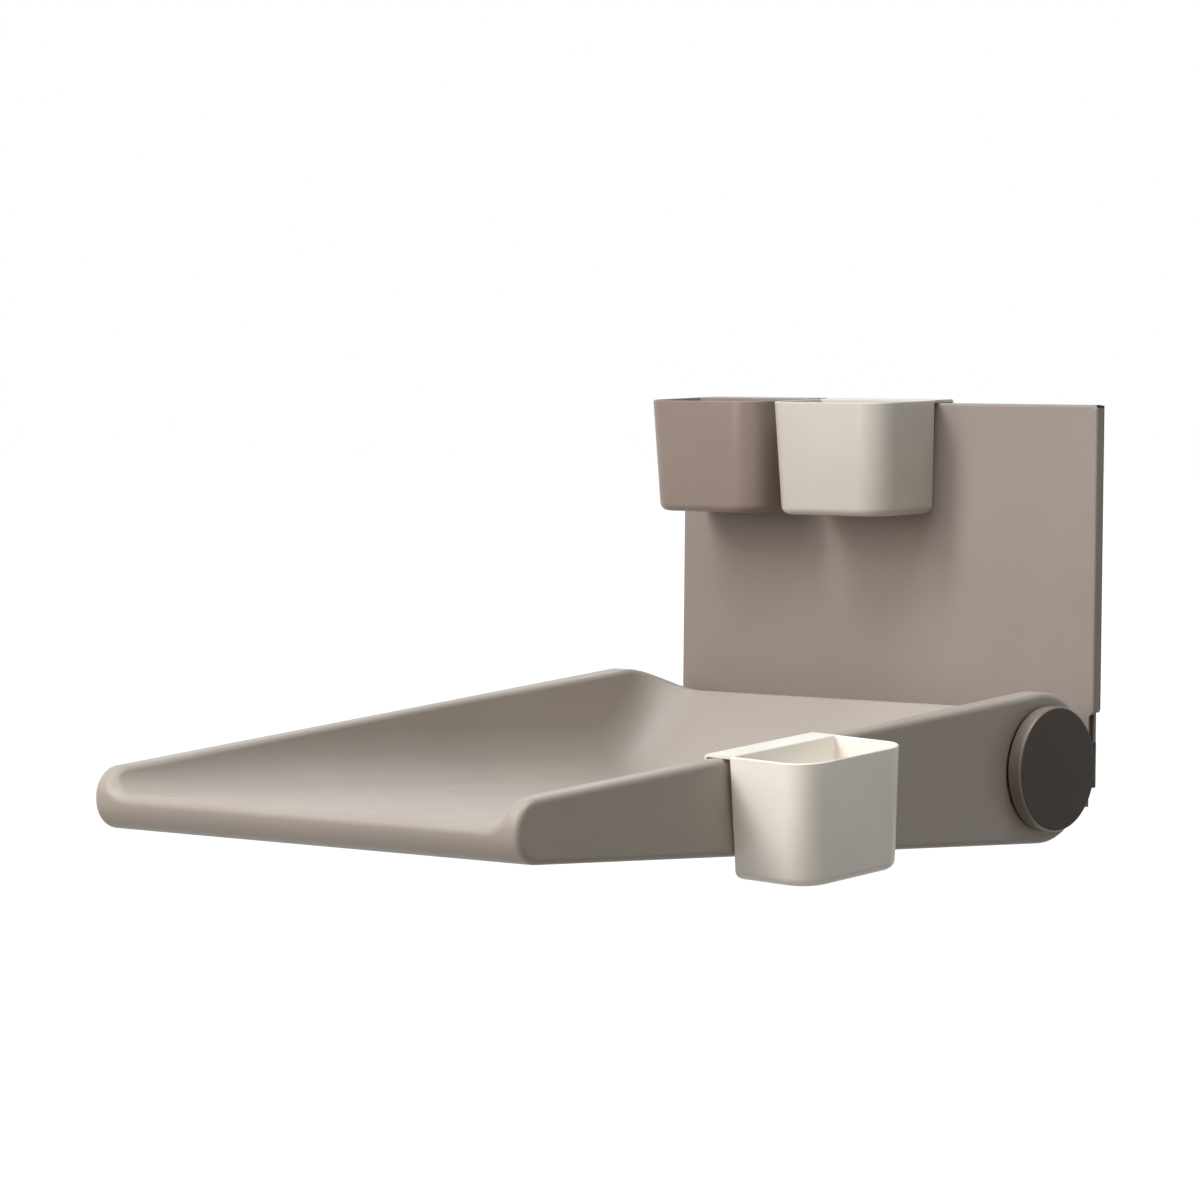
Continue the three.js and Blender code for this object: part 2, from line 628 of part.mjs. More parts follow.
function armNut(up) {
  const nut = hexNut(BOLT_NUT_RADIUS, BOLT_RADIUS + FIT_GAP, BOLT_NUT_THICK).rotateX(-Math.PI / 2);
  return nut.translate(BOLT_ACROSS, NUT_FRONT, up * BOLT_SPACING / 2);
}

function armBolt(up) {
  return turnedY(screwProfile(ARM_BOLT, ARM_FOOT_FRONT, 1)).translate(BOLT_ACROSS, 0, up * BOLT_SPACING / 2);
}

// Tray: a round-ended block, narrower towards its front, with a hollow let into its top
function sideHalf(y) {
  return TRAY_HALF + Math.min(0, y) * TAPER;
}

function floorHeight(y) {
  return (FLOOR_THICK - BARREL_RADIUS) / Math.cos(radians(BASE_RISE)) - y * UNDERSIDE_SLOPE;
}

function trayOutline(inset, side, edgeIn) {
  const fall = radians(TOP_FALL);
  const rise = radians(BASE_RISE);
  const topY = -TRAY_REACH + FRONT_TOP_RADIUS;
  const topZ = (BARREL_RADIUS - FRONT_TOP_RADIUS) / Math.cos(fall) + topY * Math.tan(fall);
  const baseY = -TRAY_REACH + FRONT_BASE_RADIUS;
  const baseZ = -(BARREL_RADIUS - FRONT_BASE_RADIUS) / Math.cos(rise) - baseY * Math.tan(rise);
  const barrel = { y: 0, z: 0, radius: BARREL_RADIUS, from: -Math.PI / 2 - rise, to: Math.PI / 2 + fall };
  const frontTop = { y: topY, z: topZ, radius: FRONT_TOP_RADIUS, from: Math.PI / 2 + fall, to: Math.PI };
  const frontBase = { y: baseY, z: baseZ, radius: FRONT_BASE_RADIUS, from: Math.PI, to: 1.5 * Math.PI - rise };
  const arc = ({ y, z, radius, from, to }, steps) => Array.from({ length: steps + 1 }, (_, k) => {
    const angle = from + (to - from) * k / steps;
    const py = y + (radius - inset) * Math.cos(angle);
    return new THREE.Vector3(side * (sideHalf(py) - edgeIn), py, z + (radius - inset) * Math.sin(angle));
  });
  return [...arc(barrel, 4 * ARC_STEPS), ...arc(frontTop, ARC_STEPS), ...arc(frontBase, ARC_STEPS)];
}

function trayBlock() {
  const ends = (side) => QUARTER.map((turn) => trayOutline(
    TRAY_EDGE * (1 - Math.cos(turn)), side, TRAY_EDGE * (1 - Math.sin(turn)),
  ));
  return loft([...ends(-1).reverse(), ...ends(1)]);
}

// Half the width of the hollow, and how far back it reaches, at a height above the floor
function hollowHalf(height, y) {
  const ahead = THREE.MathUtils.clamp((-BACK_FOOT - y) / (TRAY_REACH - BACK_FOOT), 0, 1);
  const fillet = FILLET_BACK - (FILLET_BACK - FILLET_FRONT) * ahead;
  const foot = sideHalf(y) - SIDE_WALL;
  const draft = radians(SIDE_DRAFT);
  if (height >= fillet * (1 - Math.sin(draft))) return foot + height * Math.tan(draft);
  const centre = foot + fillet * (Math.tan(draft) - 1 / Math.cos(draft));
  return centre + Math.sqrt(height * (2 * fillet - height));
}

function hollowBack(height) {
  return -BACK_FOOT + BACK_DEPTH * (height / BACK_HEIGHT) ** BACK_CURVE;
}

function hollowRing(height) {
  const radius = CORNER_FLOOR + (CORNER_RIM - CORNER_FLOOR) * Math.min(1, height / BACK_HEIGHT);
  const front = -TRAY_REACH - CUT_OVER;
  const turn = hollowBack(height) - radius;
  const half = hollowHalf(height, turn);
  const straight = Array.from({ length: SIDE_STEPS }, (_, k) => {
    const y = front + (turn - front) * k / SIDE_STEPS;
    return [hollowHalf(height, y), y];
  });
  const corner = Array.from({ length: ARC_STEPS + 1 }, (_, k) => {
    const angle = Math.PI / 2 * k / ARC_STEPS;
    return [half - radius + radius * Math.cos(angle), turn + radius * Math.sin(angle)];
  });
  const right = [...straight, ...corner];
  const left = right.map(([x, y]) => [-x, y]).reverse();
  return [...right, ...left].map(([x, y]) => new THREE.Vector3(x, y, floorHeight(y) + height));
}

function trayHollow() {
  const top = 2 * BARREL_RADIUS;
  return loft(HOLLOW_LEVELS.map((share) => hollowRing(share * top)));
}

// Rounds the front edge of the floor
function lipCutter() {
  const half = hollowHalf(0, -TRAY_REACH) + LIP_END;
  const front = -TRAY_REACH - CUT_OVER;
  const level = floorHeight(-TRAY_REACH);
  const ring = (back, z) => [[-half, front], [half, front], [half, back], [-half, back]].map(
    ([x, y]) => new THREE.Vector3(x, y, z),
  );
  const round = QUARTER.map((turn) => ring(
    -TRAY_REACH + LIP_RADIUS * (1 - Math.cos(turn)), level - LIP_RADIUS * (1 - Math.sin(turn)),
  ));
  return loft([...round, ring(-TRAY_REACH + LIP_RADIUS, level + LIP_RADIUS)]);
}

// A flat bar parallel to the underside, and the pocket that it slides into from behind
function coreBar(side, grow, over) {
  const body = block(
    [-BAR_WIDTH / 2 - grow, -TRAY_REACH + BAR_FRONT - grow, -grow],
    [BAR_WIDTH / 2 + grow, BAR_BACK + over, BAR_THICK + grow],
  );
  return body.rotateX(-Math.atan(UNDERSIDE_SLOPE)).translate(side * BAR_OFFSET, 0, -BAR_BASE_DROP);
}

function crossTube() {
  const half = HUB_BACK - FIT_GAP;
  return turnedX(ringProfile(TUBE_BORE, TUBE_RADIUS, -half, half)).translate(0, 0, -TUBE_DROP);
}

function hubRecess() {
  return join(
    turnedX(rod(HUB_RADIUS + FIT_GAP, HUB_BACK - FIT_GAP, TRAY_HALF + CUT_OVER), LARGE_ROUND),
    turnedX(rod(SHAFT_FLANGE_RADIUS + FIT_GAP, SHAFT_BACK - FIT_GAP, TRAY_HALF)),
    ...hubScrews(FIT_GAP, CUT_OVER),
  );
}

function trayShell() {
  const tubeHole = turnedX(rod(TUBE_RADIUS + FIT_GAP, -HUB_FACE, HUB_FACE)).translate(0, 0, -TUBE_DROP);
  const recess = hubRecess();
  return cut(
    trayBlock(), trayHollow(), lipCutter(), recess, mirrored(recess), tubeHole,
    coreBar(-1, FIT_GAP, BARREL_RADIUS), coreBar(1, FIT_GAP, BARREL_RADIUS),
  );
}

// Storage box: its own frame has the back at y = 0 and the rim at z = 0, and it opens upwards
function boxRing(drop, inset) {
  const half = BOX_WIDTH / 2 - drop * Math.tan(radians(BOX_SIDE_DRAFT)) - inset;
  const front = -BOX_DEPTH + drop * Math.tan(radians(BOX_FRONT_DRAFT)) + inset;
  const arc = (cx, cy, radius, from, steps) => Array.from({ length: steps + 1 }, (_, k) => {
    const angle = from + Math.PI / 2 * k / steps;
    return new THREE.Vector3(cx + radius * Math.cos(angle), cy + radius * Math.sin(angle), -drop);
  });
  const big = Math.max(BOX_FRONT_CORNER - inset, BOX_WALL);
  const small = Math.max(BOX_BACK_CORNER - inset, BOX_WALL);
  const few = ARC_STEPS / 2;
  return [
    ...arc(half - big, front + big, big, -Math.PI / 2, ARC_STEPS),
    ...arc(half - small, -inset - small, small, 0, few),
    ...arc(-half + small, -inset - small, small, Math.PI / 2, few),
    ...arc(-half + big, front + big, big, Math.PI, ARC_STEPS),
  ];
}

function boxBody(wall, rise) {
  const edge = BOX_BASE_EDGE - wall;
  const base = QUARTER.map((turn) => boxRing(
    BOX_HEIGHT - BOX_BASE_EDGE + edge * Math.sin(turn), wall + edge * (1 - Math.cos(turn)),
  ));
  return loft([boxRing(-rise, wall), ...base]);
}

function storageBox() {
  const half = BOX_WIDTH / 2;
  const flange = block([-half, -BOX_WALL, -BOX_WALL], [half, HOOK_LENGTH, 0]);
  const lip = block([-half, HOOK_LENGTH - BOX_WALL, -BOX_WALL - HOOK_LIP], [half, HOOK_LENGTH, 0]);
  return cut(join(boxBody(0, 0), flange, lip), boxBody(BOX_WALL, CUT_OVER));
}

// Hangs a box so that its back leans on an upright face at y = 0 below an edge at z = 0, which is
// rounded back by edgeBack
function hungBox(name, look, edgeBack) {
  const droop = radians(BOX_DROOP);
  const lean = FIT_GAP + (BOX_HEIGHT - BOX_BASE_EDGE) * Math.sin(droop);
  const group = new THREE.Group();
  group.position.set(0, -lean, FIT_GAP + BOX_WALL * Math.cos(droop) - (lean + edgeBack) * Math.sin(droop));
  group.rotation.x = droop;
  place(group, name, storageBox(), look);
  return group;
}

// The wall side
place(station, 'wall_plate', wallPlate(), 'plate');
place(station, 'hanging_channel', hangingChannel(), 'galvanised');
place(station, 'upper_wall_rail', upperRail(), 'galvanised');
place(station, 'lower_wall_rail', lowerRail(), 'plate');

// The tray and its core
place(hinge, 'tray_shell', trayShell(), 'moulding');
place(hinge, 'cross_tube', crossTube(), 'galvanised');
place(hinge, 'core_bar_right', coreBar(1, 0, 0), 'galvanised');
place(hinge, 'core_bar_left', coreBar(-1, 0, 0), 'galvanised');

// The hinges, made for the right side and mirrored for the left
for (const [side, shape] of [['right', (piece) => piece], ['left', mirrored]]) {
  place(hinge, `hinge_arm_${side}`, shape(hingeArm()), 'blackSteel');
  place(hinge, `arm_spacer_${side}`, shape(armSpacer()), 'blackSteel');
  for (const [level, up] of [['upper', 1], ['lower', -1]]) {
    place(hinge, `arm_bolt_${level}_${side}`, shape(armBolt(up)), 'steel');
    place(hinge, `arm_nut_${level}_${side}`, shape(armNut(up)), 'steel');
  }
  place(hinge, `hinge_cap_${side}`, shape(hingeCap()), 'cap');
  place(hinge, `pivot_bush_${side}`, shape(pivotBush()), 'bush');
  place(hinge, `friction_washer_${side}`, shape(frictionWasher()), 'bush');
  place(hinge, `cup_spring_${side}`, shape(cupSpring()), 'steel');
  place(hinge, `lock_nut_${side}`, shape(lockNut()), 'steel');
  place(hinge, `pivot_shaft_${side}`, shape(pivotShaft()), 'steel');
  place(hinge, `hub_plate_${side}`, shape(hubPlate()), 'galvanised');
  place(hinge, `tube_bolt_${side}`, shape(tubeBolt(0, 0)), 'steel');
  place(hinge, `stop_pin_${side}`, shape(stopPin(0)), 'steel');
  hubScrews(0, 0).forEach((screw, k) => {
    place(hinge, `hub_screw_${k + 1}_${side}`, shape(screw), 'steel');
  });
}

// The two boxes on the plate
for (const [name, look, column] of [['storage_box_right', 'sandBox', 0], ['storage_box_left', 'taupeBox', -1]]) {
  const box = hungBox(name, look, 0);
  box.position.add(new THREE.Vector3(PLATE_BOX_CENTRE + column * BOX_PITCH, -PLATE_OUT, PLATE_TOP));
  station.add(box);
}

// The box on the right-hand side wall of the tray, tipped with the top of that wall
const wallTop = new THREE.Group();
wallTop.position.set(
  sideHalf(SIDE_BOX_CENTRE), SIDE_BOX_CENTRE,
  BARREL_RADIUS / Math.cos(radians(TOP_FALL)) + SIDE_BOX_CENTRE * Math.tan(radians(TOP_FALL)),
);
wallTop.rotation.x = radians(TOP_FALL);
const faceOut = new THREE.Group();
faceOut.rotation.z = Math.PI / 2 - Math.atan(TAPER);
faceOut.add(hungBox('storage_box_side', 'whiteBox', TRAY_EDGE));
wallTop.add(faceOut);
hinge.add(wallTop);

export default station;
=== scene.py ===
"""Looks of a wall-mounted fold-down baby changing station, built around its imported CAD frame.

Sizes are named in millimetres, where a heading doesn't say metres, and the scene is in metres. The origin
is on the wall at hinge height, the plate faces -Y and +Z is up, as in the CAD frame.
"""
import itertools
import json
import math

import bmesh
import bpy
import numpy as np
from mathutils import Matrix, Vector


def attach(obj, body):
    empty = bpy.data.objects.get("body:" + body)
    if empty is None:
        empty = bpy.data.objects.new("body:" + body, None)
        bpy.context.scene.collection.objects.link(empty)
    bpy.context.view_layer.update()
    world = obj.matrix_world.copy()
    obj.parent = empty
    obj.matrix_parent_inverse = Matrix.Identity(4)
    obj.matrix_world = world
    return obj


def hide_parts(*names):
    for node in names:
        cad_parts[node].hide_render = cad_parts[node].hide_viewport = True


MM = 0.001
QUARTER = math.pi / 2
FULL_TURN = 2 * math.pi
SIDES = (("right", 1), ("left", -1))
SHARP_ANGLE = math.radians(40)  # edges that turn by more than this stay crisp
SAME_POINT = 1e-6  # metres; points closer than this are merged
FIT_GAP = 0.3  # between pieces that touch

# Wall plate
PLATE_OUT = 28.0  # front face, out from the wall
PLATE_TOP = 349.0  # above the hinge axis
PLATE_INSET = 14.2  # each side edge, in from the tray's side
PLATE_CLEAR = 24.7  # tray's round end to the plate
PLATE_FLANGE = 10.8
FLANGE_END = 50.0  # the side flanges stop here, above the hinge arms
CORNER_RELIEF = 3.0  # open corner where the top and side flanges meet

# Tray, measured from the hinge axis
TRAY_HALF = 278.5  # half the width at the hinge axis
TRAY_NARROWING = 12.6  # on each side, from the hinge axis to the front
TRAY_REACH = 736.0  # hinge axis to the front edge
BARREL_RADIUS = 72.7  # round end about the hinge axis
TOP_FALL = math.radians(5.34)  # side wall tops fall towards the front
BASE_RISE = math.radians(1.67)  # underside rises towards the front
FRONT_TOP_RADIUS = 28.0
FRONT_BASE_RADIUS = 28.0
TRAY_EDGE = 6.0  # rounding of the outer side edges
TAPER_BLEND = 40.0  # length over which the sides turn from parallel to narrowing
FLOOR_THICK = 34.5  # the floor runs parallel to the underside
SIDE_WALL = 26.0  # where the inner side wall, drawn on down, meets the floor
SIDE_DRAFT = math.radians(6)  # inner side wall
REAR_WALL_GAIN = 14.0  # extra thickness of the side walls at the hinge axis
REAR_WALL_LENGTH = 300.0  # length over which they gain it
FILLET_FRONT = 24.0  # inner fillet from floor to side wall, at the front edge and at the back
FILLET_BACK = 54.0
FILLET_EASE = 3.5  # exponent; the fillet shrinks mostly near the front
FILLET_CORNER = 52.0  # inner fillet from back wall to side wall
FLARE = 9.0  # the inner side walls swing out by this at the front edge
FLARE_LENGTH = 70.0
BACK_FOOT = 60.0  # floor ends this far in front of the hinge axis
BACK_DEPTH = 110.0  # back wall, from its foot to its top edge
BACK_HEIGHT = 96.0  # above the floor
BACK_CURVE = 0.6  # one over the exponent of the back wall's hollow curve
RIM_EDGE = 5.0  # rounding of the rim
LIP_EDGE = 11.0  # rounding of the floor's front edge
LIP_LENGTH = 40.0  # the lip's rounding fades into the rim's over this length and height
LIP_HEIGHT = 16.0
HUB_RECESS_RADIUS = 57.3  # for the hub plate, in each side
HUB_RECESS_DEPTH = 4.6
HUB_RECESS_EDGE = 0.8

# Grid over the tray: stretches of start, end and spacing, finer where the shape turns
GRID_MARGIN = 4.0  # past the tray on every side
GRID_ACROSS = ((0, 195, 15), (195, 245, 5), (245, 268, 2.5), (268, TRAY_HALF + GRID_MARGIN, 1.5))
GRID_FRONT = -TRAY_REACH - GRID_MARGIN
GRID_REAR = BARREL_RADIUS + GRID_MARGIN
GRID_ALONG = ((GRID_FRONT, -700, 2), (-700, -90, 12), (-90, GRID_REAR, 3.5))
GRID_BELOW = ((-GRID_MARGIN / FLOOR_THICK - 1, -0.06, 0.08), (-0.06, 0.06, 0.12))  # in floor thicknesses
GRID_ABOVE = ((0.08, 0.9, 0.035), (0.9, 1.08, 0.015))  # in heights of the side wall over the floor
GRID_LEAN = 235.0  # lines further out than this run along the side walls
LOWER = slice(0, -1)  # all but the last grid line along an axis
UPPER = slice(1, None)  # all but the first
SETTLE_ROUNDS = 4  # how often the points are moved closer to the surface
SLOPE_STEP = 0.05
SLOPE_LEAST = 1e-6

# Hinge caps
CAP_RADIUS = 60.0
CAP_STANDS = 17.0  # proud of the tray's side
CAP_GAP = 2.5  # tray's side to the cap's rim
CAP_WALL = 2.5
CAP_EDGE = 3.0  # rounding between side and face
CAP_STEPS = 96
EDGE_STEPS = 8
SLEEVE = 0.5  # thickness of the glossy skin round the side, whose colour, lighter than the cap's, is painted sheen
SLEEVE_END = math.radians(50)  # how far round the edge it reaches
CAP_RING_RADIUS = 29.0  # ring inside the cap that sits on the arm
CAP_RING_WALL = 4.0
ARM_STANDS = 6.0  # hinge arm's outer face, proud of the tray's side
ARM_HALF = 22.0  # half the arm's height
JAMB_SLIVER = 1e-3  # radians to each side of a doorway's jamb
# Near-black ring in the gap behind each hinge cap, painted shade
GAP_RING_INSET = 0.6  # in from the cap's side
GAP_RING_WALL = 1.6
GAP_RING_CLEAR = 0.4  # off the tray's side
GAP_RING_SINK = 0.01  # short of the cap's rim, so that the ring has no doorway

# Dark strip on the rear edges of the plate's side flanges, painted shade where those edges lie in shadow
SHADE_STRIP_CLEAR = 0.1  # behind the flange, and in from the plate's side
SHADE_STRIP_THICK = 0.9
SHADE_STRIP_WIDTH = 1.6
SHADE_STRIP_RAISE = 1.0  # foot, above the flange's end
RELIEF_WIDTH = 3.2  # dark block that closes the open corner, painted shade in the corner's slit
RELIEF_SINK = 1.4  # behind the plate's front face
RELIEF_DROP = 0.6  # below the plate's top

# Storage boxes, each in its own frame: back at y = 0, rim at z = 0
BOX_HALF = 74.0  # half the width at the rim
BOX_DEPTH = 92.0
BOX_HEIGHT = 113.0
BOX_WALL = 2.6
BOX_SIDE_DRAFT = math.tan(math.radians(2.2))
BOX_FRONT_DRAFT = math.tan(math.radians(2.1))
BOX_FRONT_CORNER = 30.0
BOX_BACK_CORNER = 3.0
BOX_LEAST_CORNER = 0.6
BOX_BASE_EDGE = 8.0
BOX_DROOP = math.radians(2.1)  # how far a hung box tips forward
BOX_LEAN = 4.0  # its rim, out from the face that its foot leans on
BOX_LIFT = 2.75  # its rim, above the edge that it hangs on
HOOK_LENGTH = 28.8
HOOK_LIP = 7.0
HOOK_BEND = 3.0  # outer and inner radius where the lip turns down
HOOK_INNER_BEND = 0.5
FRONT_CORNER_STEPS = 14
BACK_CORNER_STEPS = 4
HOOK_BEND_STEPS = 6
HOOK_INNER_STEPS = 2
BOX_GAP = 13.0  # between the two boxes on the plate
PLATE_BOX_CENTRE = -6.0  # middle of the right-hand box on the plate
SIDE_BOX_CENTRE = -392.0  # middle of the box on the tray's side, from the hinge axis

# Sizes that follow from those above
AXIS_OUT = PLATE_OUT + PLATE_CLEAR + BARREL_RADIUS
PLATE_HALF = TRAY_HALF - PLATE_INSET
CAP_FACE = TRAY_HALF + CAP_STANDS
CAP_RIM = TRAY_HALF + CAP_GAP
CAP_RING_FOOT = TRAY_HALF + ARM_STANDS + FIT_GAP
CAP_DOORWAY_HALF = ARM_HALF + FIT_GAP
BOX_PITCH = 2 * BOX_HALF + BOX_GAP

# Materials: how far colour and gloss stray, and how deep the relief is
NOISE_RANGE = (0.3, 0.7)  # a noise mostly keeps within this
NOISE_DETAIL = 3.0
COLOUR_SPREAD = 0.035
GLOSS_SPREAD = 0.04
GLOSS_SCALE = 3.7  # patches of gloss are this much finer than patches of colour
GRAIN_DETAIL = 4.0
GRAIN_STRENGTH = 0.35
SHEEN_ROUGHNESS = 0.4
STREAK_SHADES = (0.82, 1.1)
STREAK_GLOSS = 0.1
STREAK_DETAIL = 5.0
STREAK_STRENGTH = 0.2
STREAK_DEPTH = 0.05
WHITE = (1, 1, 1, 1)

# Camera, solved from the straight edges in the photograph, with its place in metres
CAMERA_PLACE = (3.405, -4.307, 0.366)
CAMERA_AZIMUTH = math.radians(41.490)
CAMERA_ELEVATION = math.radians(2.295)
CAMERA_ROLL = math.radians(0.576)
CAMERA_LENS = 162.843
CAMERA_SENSOR = 36.0
CAMERA_REACH = 200.0

# Floor and surround, in metres
FLOOR_LEVEL = -0.9  # such a station hangs this high
FLOOR_HALF = 60.0
FLOOR_SHADE_REACH = 1.2  # the floor takes the object's shadow this far around it
FLOOR_FADE_REACH = 3 * FLOOR_SHADE_REACH  # and is white from here on
FLOOR_GLOW_NEAR = 0.6
FLOOR_COLOUR = (156, 155, 153)
FLOOR_ROUGHNESS = 0.9
FLOOR_MOTTLE = 2
FLOOR_SPREAD = 0.02
SURROUND_STRENGTH = 0.05
SURROUND_COLOUR = (1, 0.88, 0.78, 1)

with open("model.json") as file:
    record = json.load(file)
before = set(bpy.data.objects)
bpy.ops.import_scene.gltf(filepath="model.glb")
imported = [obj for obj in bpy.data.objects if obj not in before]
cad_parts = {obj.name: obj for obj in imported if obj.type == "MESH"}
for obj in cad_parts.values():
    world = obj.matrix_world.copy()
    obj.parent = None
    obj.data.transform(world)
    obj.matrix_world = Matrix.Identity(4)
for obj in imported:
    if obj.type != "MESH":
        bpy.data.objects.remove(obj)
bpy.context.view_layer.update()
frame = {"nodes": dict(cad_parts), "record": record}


# Distances: negative inside a shape, in millimetres
def rounded_meet(a, b, radius):
    """The overlap of two shapes, with the edge between them rounded."""
    out_a = np.maximum(a + radius, 0)
    out_b = np.maximum(b + radius, 0)
    return np.minimum(np.maximum(a, b) + radius, 0) + np.hypot(out_a, out_b) - radius


def soft_step(value, low, high):
    """0 up to low, 1 from high on, with a smooth rise between them."""
    share = np.clip((value - low) / (high - low), 0, 1)
    return share * share * (3 - 2 * share)


def side_half(y):
    """Half the tray's width: constant behind the hinge axis, narrowing towards the front."""
    ahead = (np.sqrt(y * y + TAPER_BLEND**2) - y) / 2
    return TRAY_HALF - ahead * TRAY_NARROWING / TRAY_REACH


def floor_height(y):
    """The height of the tray's floor, drawn on straight to the front and the back."""
    return (FLOOR_THICK - BARREL_RADIUS) / math.cos(BASE_RISE) - y * math.tan(BASE_RISE)


def wall_top(y):
    """The height of the tray's side wall tops."""
    return BARREL_RADIUS / math.cos(TOP_FALL) + y * math.tan(TOP_FALL)


def turned_between(y, z, start, end):
    """Whether the direction (y, z) lies between two directions less than half a turn apart."""
    return (start[0] * z - start[1] * y >= 0) & (y * end[1] - z * end[0] >= 0)


def rounded_corner(outline, y, z, radius, start, end):
    """An outline cut back to a circle about (0, 0) between two directions."""
    circle = np.hypot(y, z) - radius
    return np.where(turned_between(y, z, start, end), np.maximum(circle, outline), outline)


def profile_distance(y, z):
    """The tray's side outline: a band round a large rear circle and two small front ones."""
    up = (-math.sin(TOP_FALL), math.cos(TOP_FALL))
    down = (-math.sin(BASE_RISE), -math.cos(BASE_RISE))
    ahead = (-1.0, 0.0)
    top = y * up[0] + z * up[1] - BARREL_RADIUS
    base = y * down[0] + z * down[1] - BARREL_RADIUS
    flat = np.maximum(np.maximum(top, base), -y - TRAY_REACH)
    barrel = np.hypot(y, z) - BARREL_RADIUS
    outline = np.where(turned_between(y, z, up, down), flat, np.maximum(barrel, flat))
    top_out = FRONT_TOP_RADIUS - TRAY_REACH
    top_up = (BARREL_RADIUS - FRONT_TOP_RADIUS) / up[1] + top_out * math.tan(TOP_FALL)
    outline = rounded_corner(outline, y - top_out, z - top_up, FRONT_TOP_RADIUS, up, ahead)
    base_out = FRONT_BASE_RADIUS - TRAY_REACH
    base_up = (BARREL_RADIUS - FRONT_BASE_RADIUS) / down[1] - base_out * math.tan(BASE_RISE)
    return rounded_corner(outline, y - base_out, z - base_up, FRONT_BASE_RADIUS, ahead, down)


def hollow_distance(x, y, z):
    """The space over the floor: floor and back wall in one sweep, filleted into the side walls."""
    climb = np.maximum(y + BACK_FOOT, 0) / BACK_DEPTH
    power = 1 / BACK_CURVE
    height = floor_height(y) + BACK_HEIGHT * climb**power
    slope = BACK_HEIGHT / BACK_DEPTH * power * climb ** (power - 1) - math.tan(BASE_RISE)
    under = (height - z) / np.sqrt(1 + slope * slope)
    ahead = np.clip((-BACK_FOOT - y) / (TRAY_REACH - BACK_FOOT), 0, 1)
    fillet = FILLET_BACK - (FILLET_BACK - FILLET_FRONT) * ahead**FILLET_EASE
    flare = FLARE * np.clip(1 - (y + TRAY_REACH) / FLARE_LENGTH, 0, 1) ** 2
    lean = (z - floor_height(y)) * math.tan(SIDE_DRAFT)
    wall = SIDE_WALL + REAR_WALL_GAIN * soft_step(y, -REAR_WALL_LENGTH, 0)
    beside = (np.abs(x) - side_half(y) + wall - flare - lean) * math.cos(SIDE_DRAFT)
    corner = fillet + (FILLET_CORNER - FILLET_BACK) * soft_step(y, -BACK_FOOT, BACK_FOOT)
    return rounded_meet(under, beside, corner)


def tray_distance(x, y, z):
    """The whole tray: its outline less the hollow and the hub recesses, with every edge rounded."""
    outer = rounded_meet(profile_distance(y, z), np.abs(x) - side_half(y), TRAY_EDGE)
    front = 1 - soft_step(y, -TRAY_REACH, LIP_LENGTH - TRAY_REACH)
    low = 1 - soft_step(z - floor_height(y), 0, LIP_HEIGHT)
    edge = RIM_EDGE + (LIP_EDGE - RIM_EDGE) * front * low
    shell = rounded_meet(outer, -hollow_distance(x, y, z), edge)
    recess = np.maximum(np.hypot(y, z) - HUB_RECESS_RADIUS, TRAY_HALF - HUB_RECESS_DEPTH - np.abs(x))
    return rounded_meet(shell, -recess, HUB_RECESS_EDGE)


# Meshing
def part_of(array, axis, part):
    """Part of a grid's values along one axis, and all of them along the others."""
    index = [slice(None)] * 3
    index[axis] = part
    return array[tuple(index)]


def gradient(distance, points):
    """How a distance changes along x, y and z at each point."""
    columns = []
    for axis in range(3):
        shift = np.zeros(3)
        shift[axis] = SLOPE_STEP
        change = distance(*(points + shift).T) - distance(*(points - shift).T)
        columns.append(change / (2 * SLOPE_STEP))
    return np.stack(columns, axis=1)


def cell_points(grid, values):
    """A point amid the crossings in each cell that the zero level crosses, and each cell's point number."""
    cells = tuple(n - 1 for n in values.shape)
    total = np.zeros((*cells, 3))
    count = np.zeros(cells)
    for axis in range(3):
        low = part_of(values, axis, LOWER)
        high = part_of(values, axis, UPPER)
        crossed = (low < 0) != (high < 0)
        share = np.where(crossed, low / np.where(crossed, low - high, 1), 0)[..., None]
        start = np.stack([part_of(g, axis, LOWER) for g in grid], axis=-1)
        end = np.stack([part_of(g, axis, UPPER) for g in grid], axis=-1)
        spot = np.where(crossed[..., None], start + (end - start) * share, 0)
        first, second = [a for a in range(3) if a != axis]
        for first_part, second_part in itertools.product((LOWER, UPPER), repeat=2):
            total += part_of(part_of(spot, first, first_part), second, second_part)
            count += part_of(part_of(crossed, first, first_part), second, second_part)
    used = count > 0
    number = np.full(cells, -1)
    number[used] = np.arange(used.sum())
    return total[used] / count[used][:, None], number


def settled(distance, points):
    """Points moved onto the zero level of a distance."""
    for _ in range(SETTLE_ROUNDS):
        slope = gradient(distance, points)
        steepness = np.maximum((slope * slope).sum(1), SLOPE_LEAST)
        points = points - slope * (distance(*points.T) / steepness)[:, None]
    return points


def cell_quads(inside, number):
    """A quad across each grid edge that leaves the inside, turned outwards."""
    quads = []
    for axis in range(3):
        low = part_of(inside, axis, LOWER)
        high = part_of(inside, axis, UPPER)
        i, j, k = np.nonzero(low != high)
        corner = np.stack([i, j, k], axis=1)
        across, along = np.eye(3, dtype=int)[[(axis + 1) % 3, (axis + 2) % 3]]
        ring = [corner - across - along, corner - along, corner, corner - across]
        quad = np.stack([number[tuple(c.T)] for c in ring], axis=1)
        outward = low[i, j, k]
        quads.append(np.where(outward[:, None], quad, quad[:, ::-1]))
    return np.concatenate(quads)


def skin(distance, grid):
    """Points, quads and normals over the zero level of a distance, one point for each cell it crosses."""
    values = distance(*grid)
    points, number = cell_points(grid, values)
    points = settled(distance, points)
    slope = gradient(distance, points)
    return points, cell_quads(values < 0, number), slope / np.linalg.norm(slope, axis=1)[:, None]


def steps(*stretches):
    """Grid lines: each stretch is (start, end, spacing), and each begins where the last one ended."""
    lines = []
    for start, end, spacing in stretches:
        count = max(1, round((end - start) / spacing))
        lines.append(np.linspace(start, end, count, endpoint=False))
    return np.concatenate([*lines, [end]])


